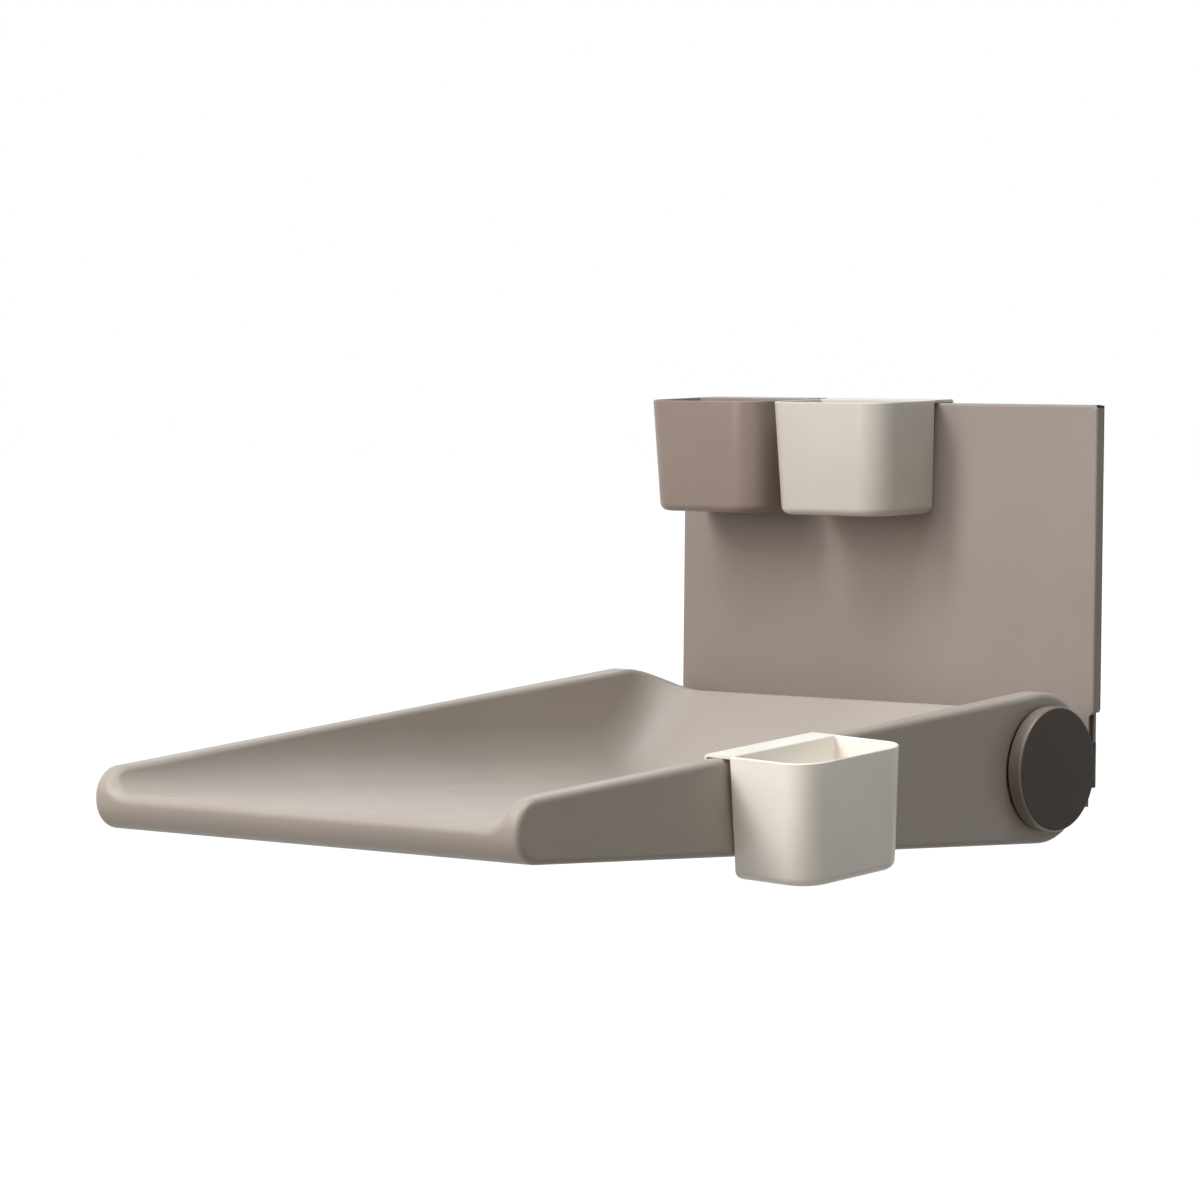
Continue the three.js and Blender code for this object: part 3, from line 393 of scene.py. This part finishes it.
def tray_grid():
    """A grid that leans with the tray's side walls, wall tops, floor and underside."""
    half = steps(*GRID_ACROSS)
    across = np.concatenate([-half[:0:-1], half])
    share = np.concatenate([steps(*GRID_BELOW), steps(*GRID_ABOVE)])
    across, y, share = np.meshgrid(across, steps(*GRID_ALONG), share, indexing="ij")
    shift = (TRAY_HALF - side_half(y)) * np.clip(np.abs(across) / GRID_LEAN, 0, 1)
    x = np.sign(across) * (np.abs(across) - shift)
    level = np.clip(y, -TRAY_REACH, 0)
    floor = floor_height(level)
    below = share * FLOOR_THICK / math.cos(BASE_RISE)
    above = share * (wall_top(level) - floor)
    return x, y, floor + np.where(share < 0, below, above)


def mesh_object(name, points, faces, normals=None):
    """A new object from points in millimetres."""
    mesh = bpy.data.meshes.new(name)
    mesh.from_pydata((np.asarray(points) * MM).tolist(), [], [list(map(int, f)) for f in faces])
    mesh.validate()
    mesh.shade_smooth()
    if normals is not None:
        mesh.normals_split_custom_set_from_vertices(normals.tolist())
    piece = bpy.data.objects.new(name, mesh)
    bpy.context.scene.collection.objects.link(piece)
    return piece


def bands(rows):
    """Points and quads between rings of points of equal length."""
    count = len(rows[0])
    faces = []
    for start in range(0, (len(rows) - 1) * count, count):
        for here in range(count):
            beside = (here + 1) % count
            faces.append((start + here, start + beside, start + count + beside, start + count + here))
    return np.concatenate([np.asarray(row, float) for row in rows]), faces


def closed_bands(rows):
    """Bands with a face over the first ring and one over the last."""
    points, faces = bands(rows)
    count = len(rows[0])
    first_end = tuple(range(count - 1, -1, -1))
    last_end = tuple(range(len(points) - count, len(points)))
    return points, [*faces, first_end, last_end]


def tidy(piece):
    """Merges double points, turns the faces outwards and keeps sharp edges crisp."""
    draft = bmesh.new()
    draft.from_mesh(piece.data)
    bmesh.ops.remove_doubles(draft, verts=draft.verts, dist=SAME_POINT)
    bmesh.ops.recalc_face_normals(draft, faces=draft.faces)
    draft.to_mesh(piece.data)
    draft.free()
    piece.data.shade_smooth()
    piece.data.set_sharp_from_angle(angle=SHARP_ANGLE)
    return piece


def arc(centre, radius, start, end, count):
    """Points along an arc, in equal steps."""
    angles = np.linspace(start, end, count + 1)
    return np.stack([centre[0] + radius * np.cos(angles), centre[1] + radius * np.sin(angles)], axis=1)


# Tray
def tray_piece():
    """The tray moulding, in one skin."""
    points, quads, normals = skin(tray_distance, tray_grid())
    points[:, 1] -= AXIS_OUT
    piece = mesh_object("tray_moulding", points, quads, normals)
    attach(piece, "tray")
    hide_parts("tray_shell")
    return piece


# Hinge caps
def turned_wall_piece(name, side, profile):
    """A piece turned about the hinge axis. What reaches the cap's rim has a doorway for the hinge arm."""
    jamb = math.asin(CAP_DOORWAY_HALF / CAP_RADIUS)
    corners = [jamb - JAMB_SLIVER, jamb + JAMB_SLIVER, -jamb - JAMB_SLIVER, -jamb + JAMB_SLIVER]
    angles = np.concatenate([np.linspace(0, FULL_TURN, CAP_STEPS, endpoint=False), corners])
    angles = np.sort(np.mod(angles, FULL_TURN))
    doorway = np.abs(np.mod(angles + math.pi, FULL_TURN) - math.pi) < jamb
    rows = []
    for radius, x in profile:
        rim = np.where(doorway & (x == CAP_RIM), CAP_RING_FOOT, x)
        out = radius * np.cos(angles) - AXIS_OUT
        rows.append(np.stack([side * rim, out, radius * np.sin(angles)], axis=1))
    piece = tidy(mesh_object(name, *bands(rows)))
    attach(piece, "wall")
    return piece


def cap_edge(radius, start, end):
    """Part of the rounded edge between a cap's side and its face, from angle start to angle end."""
    return arc((CAP_RADIUS - CAP_EDGE, CAP_FACE - CAP_EDGE), radius, start, end, EDGE_STEPS).tolist()


def cap_piece(name, side):
    """The dark core of a hinge cap: a cup with a ring inside, and the face that shows."""
    inside = CAP_FACE - CAP_WALL
    ring_in = CAP_RING_RADIUS - CAP_RING_WALL
    profile = [
        (0, inside), (ring_in, inside), (ring_in, CAP_RING_FOOT), (CAP_RING_RADIUS, CAP_RING_FOOT),
        (CAP_RING_RADIUS, inside), (CAP_RADIUS - CAP_WALL, inside), (CAP_RADIUS - CAP_WALL, CAP_RIM),
        (CAP_RADIUS - SLEEVE, CAP_RIM), *cap_edge(CAP_EDGE - SLEEVE, 0, SLEEVE_END),
        *cap_edge(CAP_EDGE, SLEEVE_END, QUARTER), (0, CAP_FACE),
    ]
    piece = turned_wall_piece("cover_" + name, side, profile)
    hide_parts("hinge_cap_" + name)
    return piece


def cap_sleeve(name, side):
    """The glossy skin round a hinge cap's side and part of its edge; its colour, lighter than the cap's, is
    painted sheen.
    """
    foot = (CAP_RADIUS, CAP_RIM)
    outer = cap_edge(CAP_EDGE, 0, SLEEVE_END)
    inner = cap_edge(CAP_EDGE - SLEEVE, SLEEVE_END, 0)
    profile = [foot, *outer, *inner, (CAP_RADIUS - SLEEVE, CAP_RIM), foot]
    return turned_wall_piece("cover_sleeve_" + name, side, profile)


def gap_shade_ring(name, side):
    """A thin near-black ring that closes the gap between a hinge cap and the tray: painted shade where the
    gap lies in shadow.
    """
    outer = CAP_RADIUS - GAP_RING_INSET
    inner = outer - GAP_RING_WALL
    foot = TRAY_HALF + GAP_RING_CLEAR
    top = CAP_RIM - GAP_RING_SINK
    profile = [(outer, foot), (outer, top), (inner, top), (inner, foot), (outer, foot)]
    return turned_wall_piece("gap_shade_ring_" + name, side, profile)


# Plate trim
def block(low, high):
    """Points and faces of an upright block between two corners."""
    points = [(x, y, z) for z in (low[2], high[2]) for y in (low[1], high[1]) for x in (low[0], high[0])]
    faces = [(0, 2, 3, 1), (4, 5, 7, 6), (0, 1, 5, 4), (2, 6, 7, 3), (0, 4, 6, 2), (1, 3, 7, 5)]
    return points, faces


def flange_shade_strip(name, side):
    """A dark strip along a flange's rear edge, which also closes the open corner at the top; both are
    painted shade.
    """
    outer = PLATE_HALF - SHADE_STRIP_CLEAR
    front = PLATE_FLANGE - PLATE_OUT + SHADE_STRIP_CLEAR
    rear = front + SHADE_STRIP_THICK
    top = PLATE_TOP - CORNER_RELIEF
    strip = block((outer - SHADE_STRIP_WIDTH, front, FLANGE_END + SHADE_STRIP_RAISE), (outer, rear, top))
    corner_low = (outer - RELIEF_WIDTH, RELIEF_SINK - PLATE_OUT, top)
    corner = block(corner_low, (outer, rear, PLATE_TOP - RELIEF_DROP))
    points = np.array(strip[0] + corner[0]) * (side, 1, 1)
    shifted = [tuple(i + len(strip[0]) for i in face) for face in corner[1]]
    piece = tidy(mesh_object("flange_shade_strip_" + name, points, strip[1] + shifted))
    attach(piece, "wall")
    return piece


# Storage boxes
def box_ring(drop, inset):
    """A box's plan at a depth below its rim, an inset in from its outer skin."""
    half = BOX_HALF - drop * BOX_SIDE_DRAFT - inset
    front = -BOX_DEPTH + drop * BOX_FRONT_DRAFT + inset
    large = max(BOX_FRONT_CORNER - inset, BOX_WALL)
    small = max(BOX_BACK_CORNER - inset, BOX_LEAST_CORNER)
    plan = np.concatenate([
        arc((half - large, front + large), large, -QUARTER, 0, FRONT_CORNER_STEPS),
        arc((half - small, -inset - small), small, 0, QUARTER, BACK_CORNER_STEPS),
        arc((-half + small, -inset - small), small, QUARTER, 2 * QUARTER, BACK_CORNER_STEPS),
        arc((-half + large, front + large), large, 2 * QUARTER, 3 * QUARTER, FRONT_CORNER_STEPS),
    ])
    return np.column_stack([plan, np.full(len(plan), -drop)])


def base_edge(radius, inset, angles):
    """Plans of a box up or down a rounded base edge that starts where the straight side ends."""
    straight = BOX_HEIGHT - BOX_BASE_EDGE
    return [box_ring(straight + radius * math.sin(a), inset + radius * (1 - math.cos(a))) for a in angles]


def box_cup():
    """The cup in one skin: outside from the base up, over the rounded rim and down the inside."""
    lip = BOX_WALL / 2
    rising = np.linspace(QUARTER, 0, EDGE_STEPS + 1)
    over = np.linspace(0, 2 * QUARTER, EDGE_STEPS + 1)
    outside = base_edge(BOX_BASE_EDGE, 0, rising)
    rim = [box_ring(lip * (1 - math.sin(a)), lip * (1 - math.cos(a))) for a in over]
    inside = base_edge(BOX_BASE_EDGE - BOX_WALL, BOX_WALL, rising[::-1])
    return closed_bands([*outside, *rim, *inside])


def box_hook():
    """The flange and lip that hook over an edge, as a bent strip with a rounded end."""
    end = BOX_WALL / 2
    low = -BOX_WALL - HOOK_LIP
    inner_bend = (HOOK_LENGTH - BOX_WALL - HOOK_INNER_BEND, -BOX_WALL - HOOK_INNER_BEND)
    outline = np.concatenate([
        [[-end, 0.0]],
        arc((HOOK_LENGTH - HOOK_BEND, -HOOK_BEND), HOOK_BEND, QUARTER, 0, HOOK_BEND_STEPS),
        arc((HOOK_LENGTH - end, low + end), end, 0, -2 * QUARTER, EDGE_STEPS),
        arc(inner_bend, HOOK_INNER_BEND, 0, QUARTER, HOOK_INNER_STEPS),
        [[-end, -BOX_WALL]],
    ])
    ends = [np.column_stack([np.full(len(outline), x), outline]) for x in (-BOX_HALF, BOX_HALF)]
    return closed_bands(ends)


def box_piece(name, place, body, node):
    """A storage box, its cup and hook joined in one mesh, at its place on an edge."""
    cup = tidy(mesh_object(name, *box_cup()))
    hook = tidy(mesh_object(name + "_hook", *box_hook()))
    union = cup.modifiers.new("hook", "BOOLEAN")
    union.operation = "UNION"
    union.solver = "EXACT"
    union.object = hook
    bpy.context.view_layer.update()
    whole = bpy.data.meshes.new_from_object(cup.evaluated_get(bpy.context.evaluated_depsgraph_get()))
    cup.modifiers.clear()
    cup.data = whole
    bpy.data.objects.remove(hook)
    tidy(cup)
    cup.data.transform(place)
    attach(cup, body)
    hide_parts(node)
    return cup


def hung(across, out, up):
    """The place of a hung box whose back leans on an upright face below an edge, in metres."""
    droop = Matrix.Rotation(BOX_DROOP, 4, "X")
    return Matrix.Translation(Vector((across, out - BOX_LEAN, up + BOX_LIFT)) * MM) @ droop


def side_box_place():
    """The place of the box that hangs on the tray's side wall, in metres."""
    y = SIDE_BOX_CENTRE
    taper = TRAY_NARROWING / TRAY_REACH
    wall = Matrix.Translation(Vector((TRAY_HALF + y * taper, y - AXIS_OUT, wall_top(y))) * MM)
    turn = Matrix.Rotation(TOP_FALL, 4, "X") @ Matrix.Rotation(QUARTER - math.atan(taper), 4, "Z")
    edge_drop = TRAY_EDGE * math.sin(BOX_DROOP)
    return wall @ turn @ hung(0, 0, -edge_drop)


# Materials
def srgb(*levels):
    """A colour written in screen levels from 0 to 255, as linear light by the sRGB formula."""
    shares = [level / 255 for level in levels]
    return tuple(s / 12.92 if s <= 0.04045 else ((s + 0.055) / 1.055) ** 2.4 for s in shares) + (1.0,)


def shade(colour, factor):
    """A colour made lighter or darker."""
    return tuple(c * factor for c in colour[:3]) + (1.0,)


def node_material(name):
    """A new material with one shader, its node tree and that shader."""
    material = bpy.data.materials.new(name)
    material.use_nodes = True
    tree = material.node_tree
    tree.nodes.clear()
    output = tree.nodes.new("ShaderNodeOutputMaterial")
    shader = tree.nodes.new("ShaderNodeBsdfPrincipled")
    tree.links.new(shader.outputs["BSDF"], output.inputs["Surface"])
    return material, tree, shader


def noise(tree, scale, detail=NOISE_DETAIL, stretch=None):
    """A noise fixed to the object, stretched along its axes where that is asked for."""
    place = tree.nodes.new("ShaderNodeTexCoord").outputs["Object"]
    if stretch:
        mapping = tree.nodes.new("ShaderNodeMapping")
        mapping.inputs["Scale"].default_value = stretch
        tree.links.new(place, mapping.inputs["Vector"])
        place = mapping.outputs["Vector"]
    texture = tree.nodes.new("ShaderNodeTexNoise")
    texture.inputs["Scale"].default_value = scale
    texture.inputs["Detail"].default_value = detail
    tree.links.new(place, texture.inputs["Vector"])
    return texture.outputs["Fac"]


def mapped(tree, value, source, target, curve="LINEAR"):
    """A value carried over from a source range to a target range."""
    span = tree.nodes.new("ShaderNodeMapRange")
    span.interpolation_type = curve
    for end, level in zip(("From Min", "From Max", "To Min", "To Max"), (*source, *target)):
        span.inputs[end].default_value = level
    tree.links.new(value, span.inputs["Value"])
    return span.outputs["Result"]


def tinted(tree, pattern, dark, light):
    """A colour that follows a pattern from dark to light."""
    blend = tree.nodes.new("ShaderNodeMix")
    blend.data_type = "RGBA"
    blend.inputs["A"].default_value = dark
    blend.inputs["B"].default_value = light
    tree.links.new(mapped(tree, pattern, NOISE_RANGE, (0.0, 1.0)), blend.inputs["Factor"])
    return blend.outputs["Result"]


def add_gloss(tree, shader, pattern, roughness, spread):
    """Roughness that follows a pattern."""
    gloss = mapped(tree, pattern, NOISE_RANGE, (roughness - spread, roughness + spread))
    tree.links.new(gloss, shader.inputs["Roughness"])


def add_relief(tree, shader, pattern, strength, depth):
    """A fine relief that follows a pattern, with its depth in millimetres."""
    bump = tree.nodes.new("ShaderNodeBump")
    bump.inputs["Strength"].default_value = strength
    bump.inputs["Distance"].default_value = depth * MM
    tree.links.new(pattern, bump.inputs["Height"])
    tree.links.new(bump.outputs["Normal"], shader.inputs["Normal"])


def coated(name, colour, roughness, mottle, grain, depth, specular=0.5, sheen=0.0):
    """A smooth pigmented surface: faint uneven colour, uneven gloss and a fine grain.

    mottle and grain say how fine these patterns are, and depth is the grain's in millimetres.
    """
    material, tree, shader = node_material(name)
    dark = shade(srgb(*colour), 1 - COLOUR_SPREAD)
    light = shade(srgb(*colour), 1 + COLOUR_SPREAD)
    tree.links.new(tinted(tree, noise(tree, mottle), dark, light), shader.inputs["Base Color"])
    add_gloss(tree, shader, noise(tree, mottle * GLOSS_SCALE), roughness, GLOSS_SPREAD)
    add_relief(tree, shader, noise(tree, grain, GRAIN_DETAIL), GRAIN_STRENGTH, depth)
    shader.inputs["Specular IOR Level"].default_value = specular
    shader.inputs["Sheen Weight"].default_value = sheen
    shader.inputs["Sheen Roughness"].default_value = SHEEN_ROUGHNESS
    return material


def bare_steel(name, colour, roughness, scale, stretch=None):
    """Steel with a drawn or zinc-coated surface: streaks or patches in colour and gloss."""
    material, tree, shader = node_material(name)
    streaks = noise(tree, scale, STREAK_DETAIL, stretch)
    dark, light = [shade(srgb(*colour), factor) for factor in STREAK_SHADES]
    tree.links.new(tinted(tree, streaks, dark, light), shader.inputs["Base Color"])
    add_gloss(tree, shader, streaks, roughness, STREAK_GLOSS)
    add_relief(tree, shader, streaks, STREAK_STRENGTH, STREAK_DEPTH)
    shader.inputs["Metallic"].default_value = 1.0
    return material


def box_plastic(name, colour, specular):
    """The satin plastic that all three storage boxes are moulded from."""
    return coated(name, colour, roughness=0.34, mottle=14, grain=1500, depth=0.05, specular=specular)


def slot_looks():
    """A material for each of the record's material slots."""
    return {
        "plate_paint": coated(
            "powder_coat", (154, 142, 136), roughness=0.42, mottle=9, grain=1400, depth=0.06, specular=0.25
        ),
        "moulding": coated(
            "soft_moulding", (165, 154, 145), roughness=0.42, mottle=6, grain=900, depth=0.08, specular=0.4,
            sheen=0.12,
        ),
        "cap": coated(
            "dark_cover", (88, 80, 74), roughness=0.5, mottle=20, grain=1600, depth=0.05, specular=0.1
        ),
        "taupe_box": box_plastic("taupe_moulding", (140, 124, 115), specular=0.4),
        "sand_box": box_plastic("sand_moulding", (203, 196, 187), specular=0.4),
        "white_box": box_plastic("white_moulding", (248, 242, 234), specular=0.5),
        "black_steel": coated(
            "black_coat", (42, 40, 39), roughness=0.45, mottle=16, grain=1400, depth=0.06, specular=0.15
        ),
        "bearing": coated(
            "bearing_plastic", (216, 212, 200), roughness=0.45, mottle=30, grain=1800, depth=0.03
        ),
        "galvanised": bare_steel("zinc_coat", (176, 179, 180), roughness=0.45, scale=60),
        "fastener": bare_steel(
            "plain_steel", (168, 170, 172), roughness=0.32, scale=300, stretch=(1, 1, 12)
        ),
    }


def satin_edge_painted_sheen():
    """The glossy skin round a hinge cap: its lower roughness is real gloss, and its colour, lighter than
    the cap's, is painted sheen.
    """
    return coated(
        "satin_edge_painted_sheen", (124, 111, 102), roughness=0.32, mottle=20, grain=1600, depth=0.03, specular=0.45
    )


def painted_gap_shade():
    """Near-black colour for the ring in the gap behind a hinge cap: painted shade."""
    return coated(
        "painted_gap_shade", (16, 14, 14), roughness=0.7, mottle=20, grain=1600, depth=0.03, specular=0.02
    )


def dress_frame(looks):
    """Gives each CAD node that still shows its material, with crisp edges and flat faces."""
    slots = {part["node"]: part["material_slot"] for part in frame["record"]["subparts"]}
    for name, node in frame["nodes"].items():
        node.data.materials.clear()
        node.data.materials.append(looks[slots[name]])
        node.data.shade_smooth()
        node.data.set_sharp_from_angle(angle=SHARP_ANGLE)
        if not node.hide_render:
            weighted = node.modifiers.new("flat_faces", "WEIGHTED_NORMAL")
            weighted.keep_sharp = True


# Stage
def area_light(name, place, target, size, power, colour):
    """A soft rectangular lamp, in metres and watts, that faces a target."""
    data = bpy.data.lights.new(name, "AREA")
    data.shape = "RECTANGLE"
    data.size, data.size_y = size
    data.energy = power
    data.color = colour
    lamp = bpy.data.objects.new(name, data)
    lamp.location = place
    lamp.rotation_euler = (Vector(target) - Vector(place)).to_track_quat("-Z", "Y").to_euler()
    bpy.context.scene.collection.objects.link(lamp)


def seen_directly(tree):
    """1 for camera, mirror and see-through rays, 0 for the rays that carry light."""
    path = tree.nodes.new("ShaderNodeLightPath")
    value = path.outputs["Is Camera Ray"]
    for other in ("Is Glossy Ray", "Is Transmission Ray"):
        either = tree.nodes.new("ShaderNodeMath")
        either.operation = "MAXIMUM"
        tree.links.new(value, either.inputs[0])
        tree.links.new(path.outputs[other], either.inputs[1])
        value = either.outputs[0]
    return value


def background(tree, colour, strength):
    """An even surround of one colour."""
    node = tree.nodes.new("ShaderNodeBackground")
    node.inputs["Color"].default_value = colour
    node.inputs["Strength"].default_value = strength
    return node.outputs["Background"]


def white_surround():
    """White to the camera, and a soft even light on the object."""
    world = bpy.data.worlds.new("surround")
    bpy.context.scene.world = world
    world.use_nodes = True
    tree = world.node_tree
    tree.nodes.clear()
    output = tree.nodes.new("ShaderNodeOutputWorld")
    mix = tree.nodes.new("ShaderNodeMixShader")
    tree.links.new(seen_directly(tree), mix.inputs["Fac"])
    tree.links.new(background(tree, SURROUND_COLOUR, SURROUND_STRENGTH), mix.inputs[1])
    tree.links.new(background(tree, WHITE, 1.0), mix.inputs[2])
    tree.links.new(mix.outputs["Shader"], output.inputs["Surface"])


def floor_look():
    """Pale and matt, fading to white away from the object for rays that show it directly."""
    material, tree, shader = node_material("pale_floor")
    shader.inputs["Roughness"].default_value = FLOOR_ROUGHNESS
    dark = shade(srgb(*FLOOR_COLOUR), 1 - FLOOR_SPREAD)
    light = shade(srgb(*FLOOR_COLOUR), 1 + FLOOR_SPREAD)
    tree.links.new(tinted(tree, noise(tree, FLOOR_MOTTLE), dark, light), shader.inputs["Base Color"])
    place = tree.nodes.new("ShaderNodeTexCoord").outputs["Object"]
    away = tree.nodes.new("ShaderNodeVectorMath")
    away.operation = "LENGTH"
    tree.links.new(place, away.inputs[0])
    fade = (FLOOR_SHADE_REACH, FLOOR_FADE_REACH)
    glow = mapped(tree, away.outputs["Value"], fade, (FLOOR_GLOW_NEAR, 1.0), "SMOOTHSTEP")
    strength = tree.nodes.new("ShaderNodeMath")
    strength.operation = "MULTIPLY"
    tree.links.new(glow, strength.inputs[0])
    tree.links.new(seen_directly(tree), strength.inputs[1])
    shader.inputs["Emission Color"].default_value = WHITE
    tree.links.new(strength.outputs["Value"], shader.inputs["Emission Strength"])
    return material


def pale_floor():
    """A wide floor below the station."""
    size = FLOOR_HALF / MM
    corners = [(-size, -size, 0), (size, -size, 0), (size, size, 0), (-size, size, 0)]
    floor = mesh_object("floor", corners, [(0, 1, 2, 3)])
    floor.location.z = FLOOR_LEVEL
    floor.data.materials.append(floor_look())


def photo_camera():
    """The camera of the photograph."""
    azimuth, elevation, roll = CAMERA_AZIMUTH, CAMERA_ELEVATION, CAMERA_ROLL
    flat = math.cos(elevation)
    back = Vector((math.sin(azimuth) * flat, -math.cos(azimuth) * flat, math.sin(elevation)))
    right = Vector((math.cos(azimuth), math.sin(azimuth), 0))
    up = back.cross(right)
    across = right * math.cos(roll) + up * math.sin(roll)
    upward = up * math.cos(roll) - right * math.sin(roll)
    data = bpy.data.cameras.new("photo_camera")
    data.lens = CAMERA_LENS
    data.sensor_width = CAMERA_SENSOR
    data.clip_end = CAMERA_REACH
    camera = bpy.data.objects.new("photo_camera", data)
    turned = Matrix((across, upward, back)).transposed().to_4x4()
    camera.matrix_world = Matrix.Translation(CAMERA_PLACE) @ turned
    bpy.context.scene.collection.objects.link(camera)
    bpy.context.scene.camera = camera


def studio_light():
    """Soft light from the front left and from above, with a weak warm lamp at the right."""
    white_surround()
    area_light(
        "fill", place=(-1.15, -4.3, 1.4), target=(0, -0.2, 0.15), size=(2.2, 2.2), power=74,
        colour=(1.0, 0.96, 0.92),
    )
    area_light(
        "key", place=(-1.3, -3.0, 2.95), target=(0, -0.2, 0.1), size=(1.0, 2.6), power=99,
        colour=(1.0, 0.99, 0.97),
    )
    area_light(
        "overhead", place=(0.8, -0.9, 3.4), target=(0, -0.35, 0.05), size=(2.2, 2.2), power=88,
        colour=(0.82, 0.95, 1.0),
    )
    area_light(
        "side", place=(2.9, -2.6, 1.8), target=(0, -0.3, 0.1), size=(2.5, 2.0), power=17,
        colour=(1.0, 0.80, 0.63),
    )


def dressed_station(looks):
    """All the modelled pieces, each with its material, and the CAD nodes that still show."""
    sheen_edge_look = satin_edge_painted_sheen()
    gap_shade_look = painted_gap_shade()
    tray_piece().data.materials.append(looks["moulding"])
    for name, side in SIDES:
        cap_piece(name, side).data.materials.append(looks["cap"])
        # the sleeve's colour, lighter than the cap's, is painted sheen
        cap_sleeve(name, side).data.materials.append(sheen_edge_look)
        # the gap ring's near-black colour is painted shade
        gap_shade_ring(name, side).data.materials.append(gap_shade_look)
        # the dark strip and the corner block are painted shade
        flange_shade_strip(name, side).data.materials.append(looks["black_steel"])
    right_edge = hung(PLATE_BOX_CENTRE, -PLATE_OUT, PLATE_TOP)
    left_edge = hung(PLATE_BOX_CENTRE - BOX_PITCH, -PLATE_OUT, PLATE_TOP)
    boxes = (
        ("right", "sand_box", right_edge),
        ("left", "taupe_box", left_edge),
        ("side", "white_box", side_box_place()),
    )
    for name, slot, place in boxes:
        box = box_piece("box_" + name, place, "box_" + name, "storage_box_" + name)
        box.data.materials.append(looks[slot])
    dress_frame(looks)


photo_camera()
dressed_station(slot_looks())
studio_light()
pale_floor()
bpy.context.scene.view_settings.view_transform = "Standard"
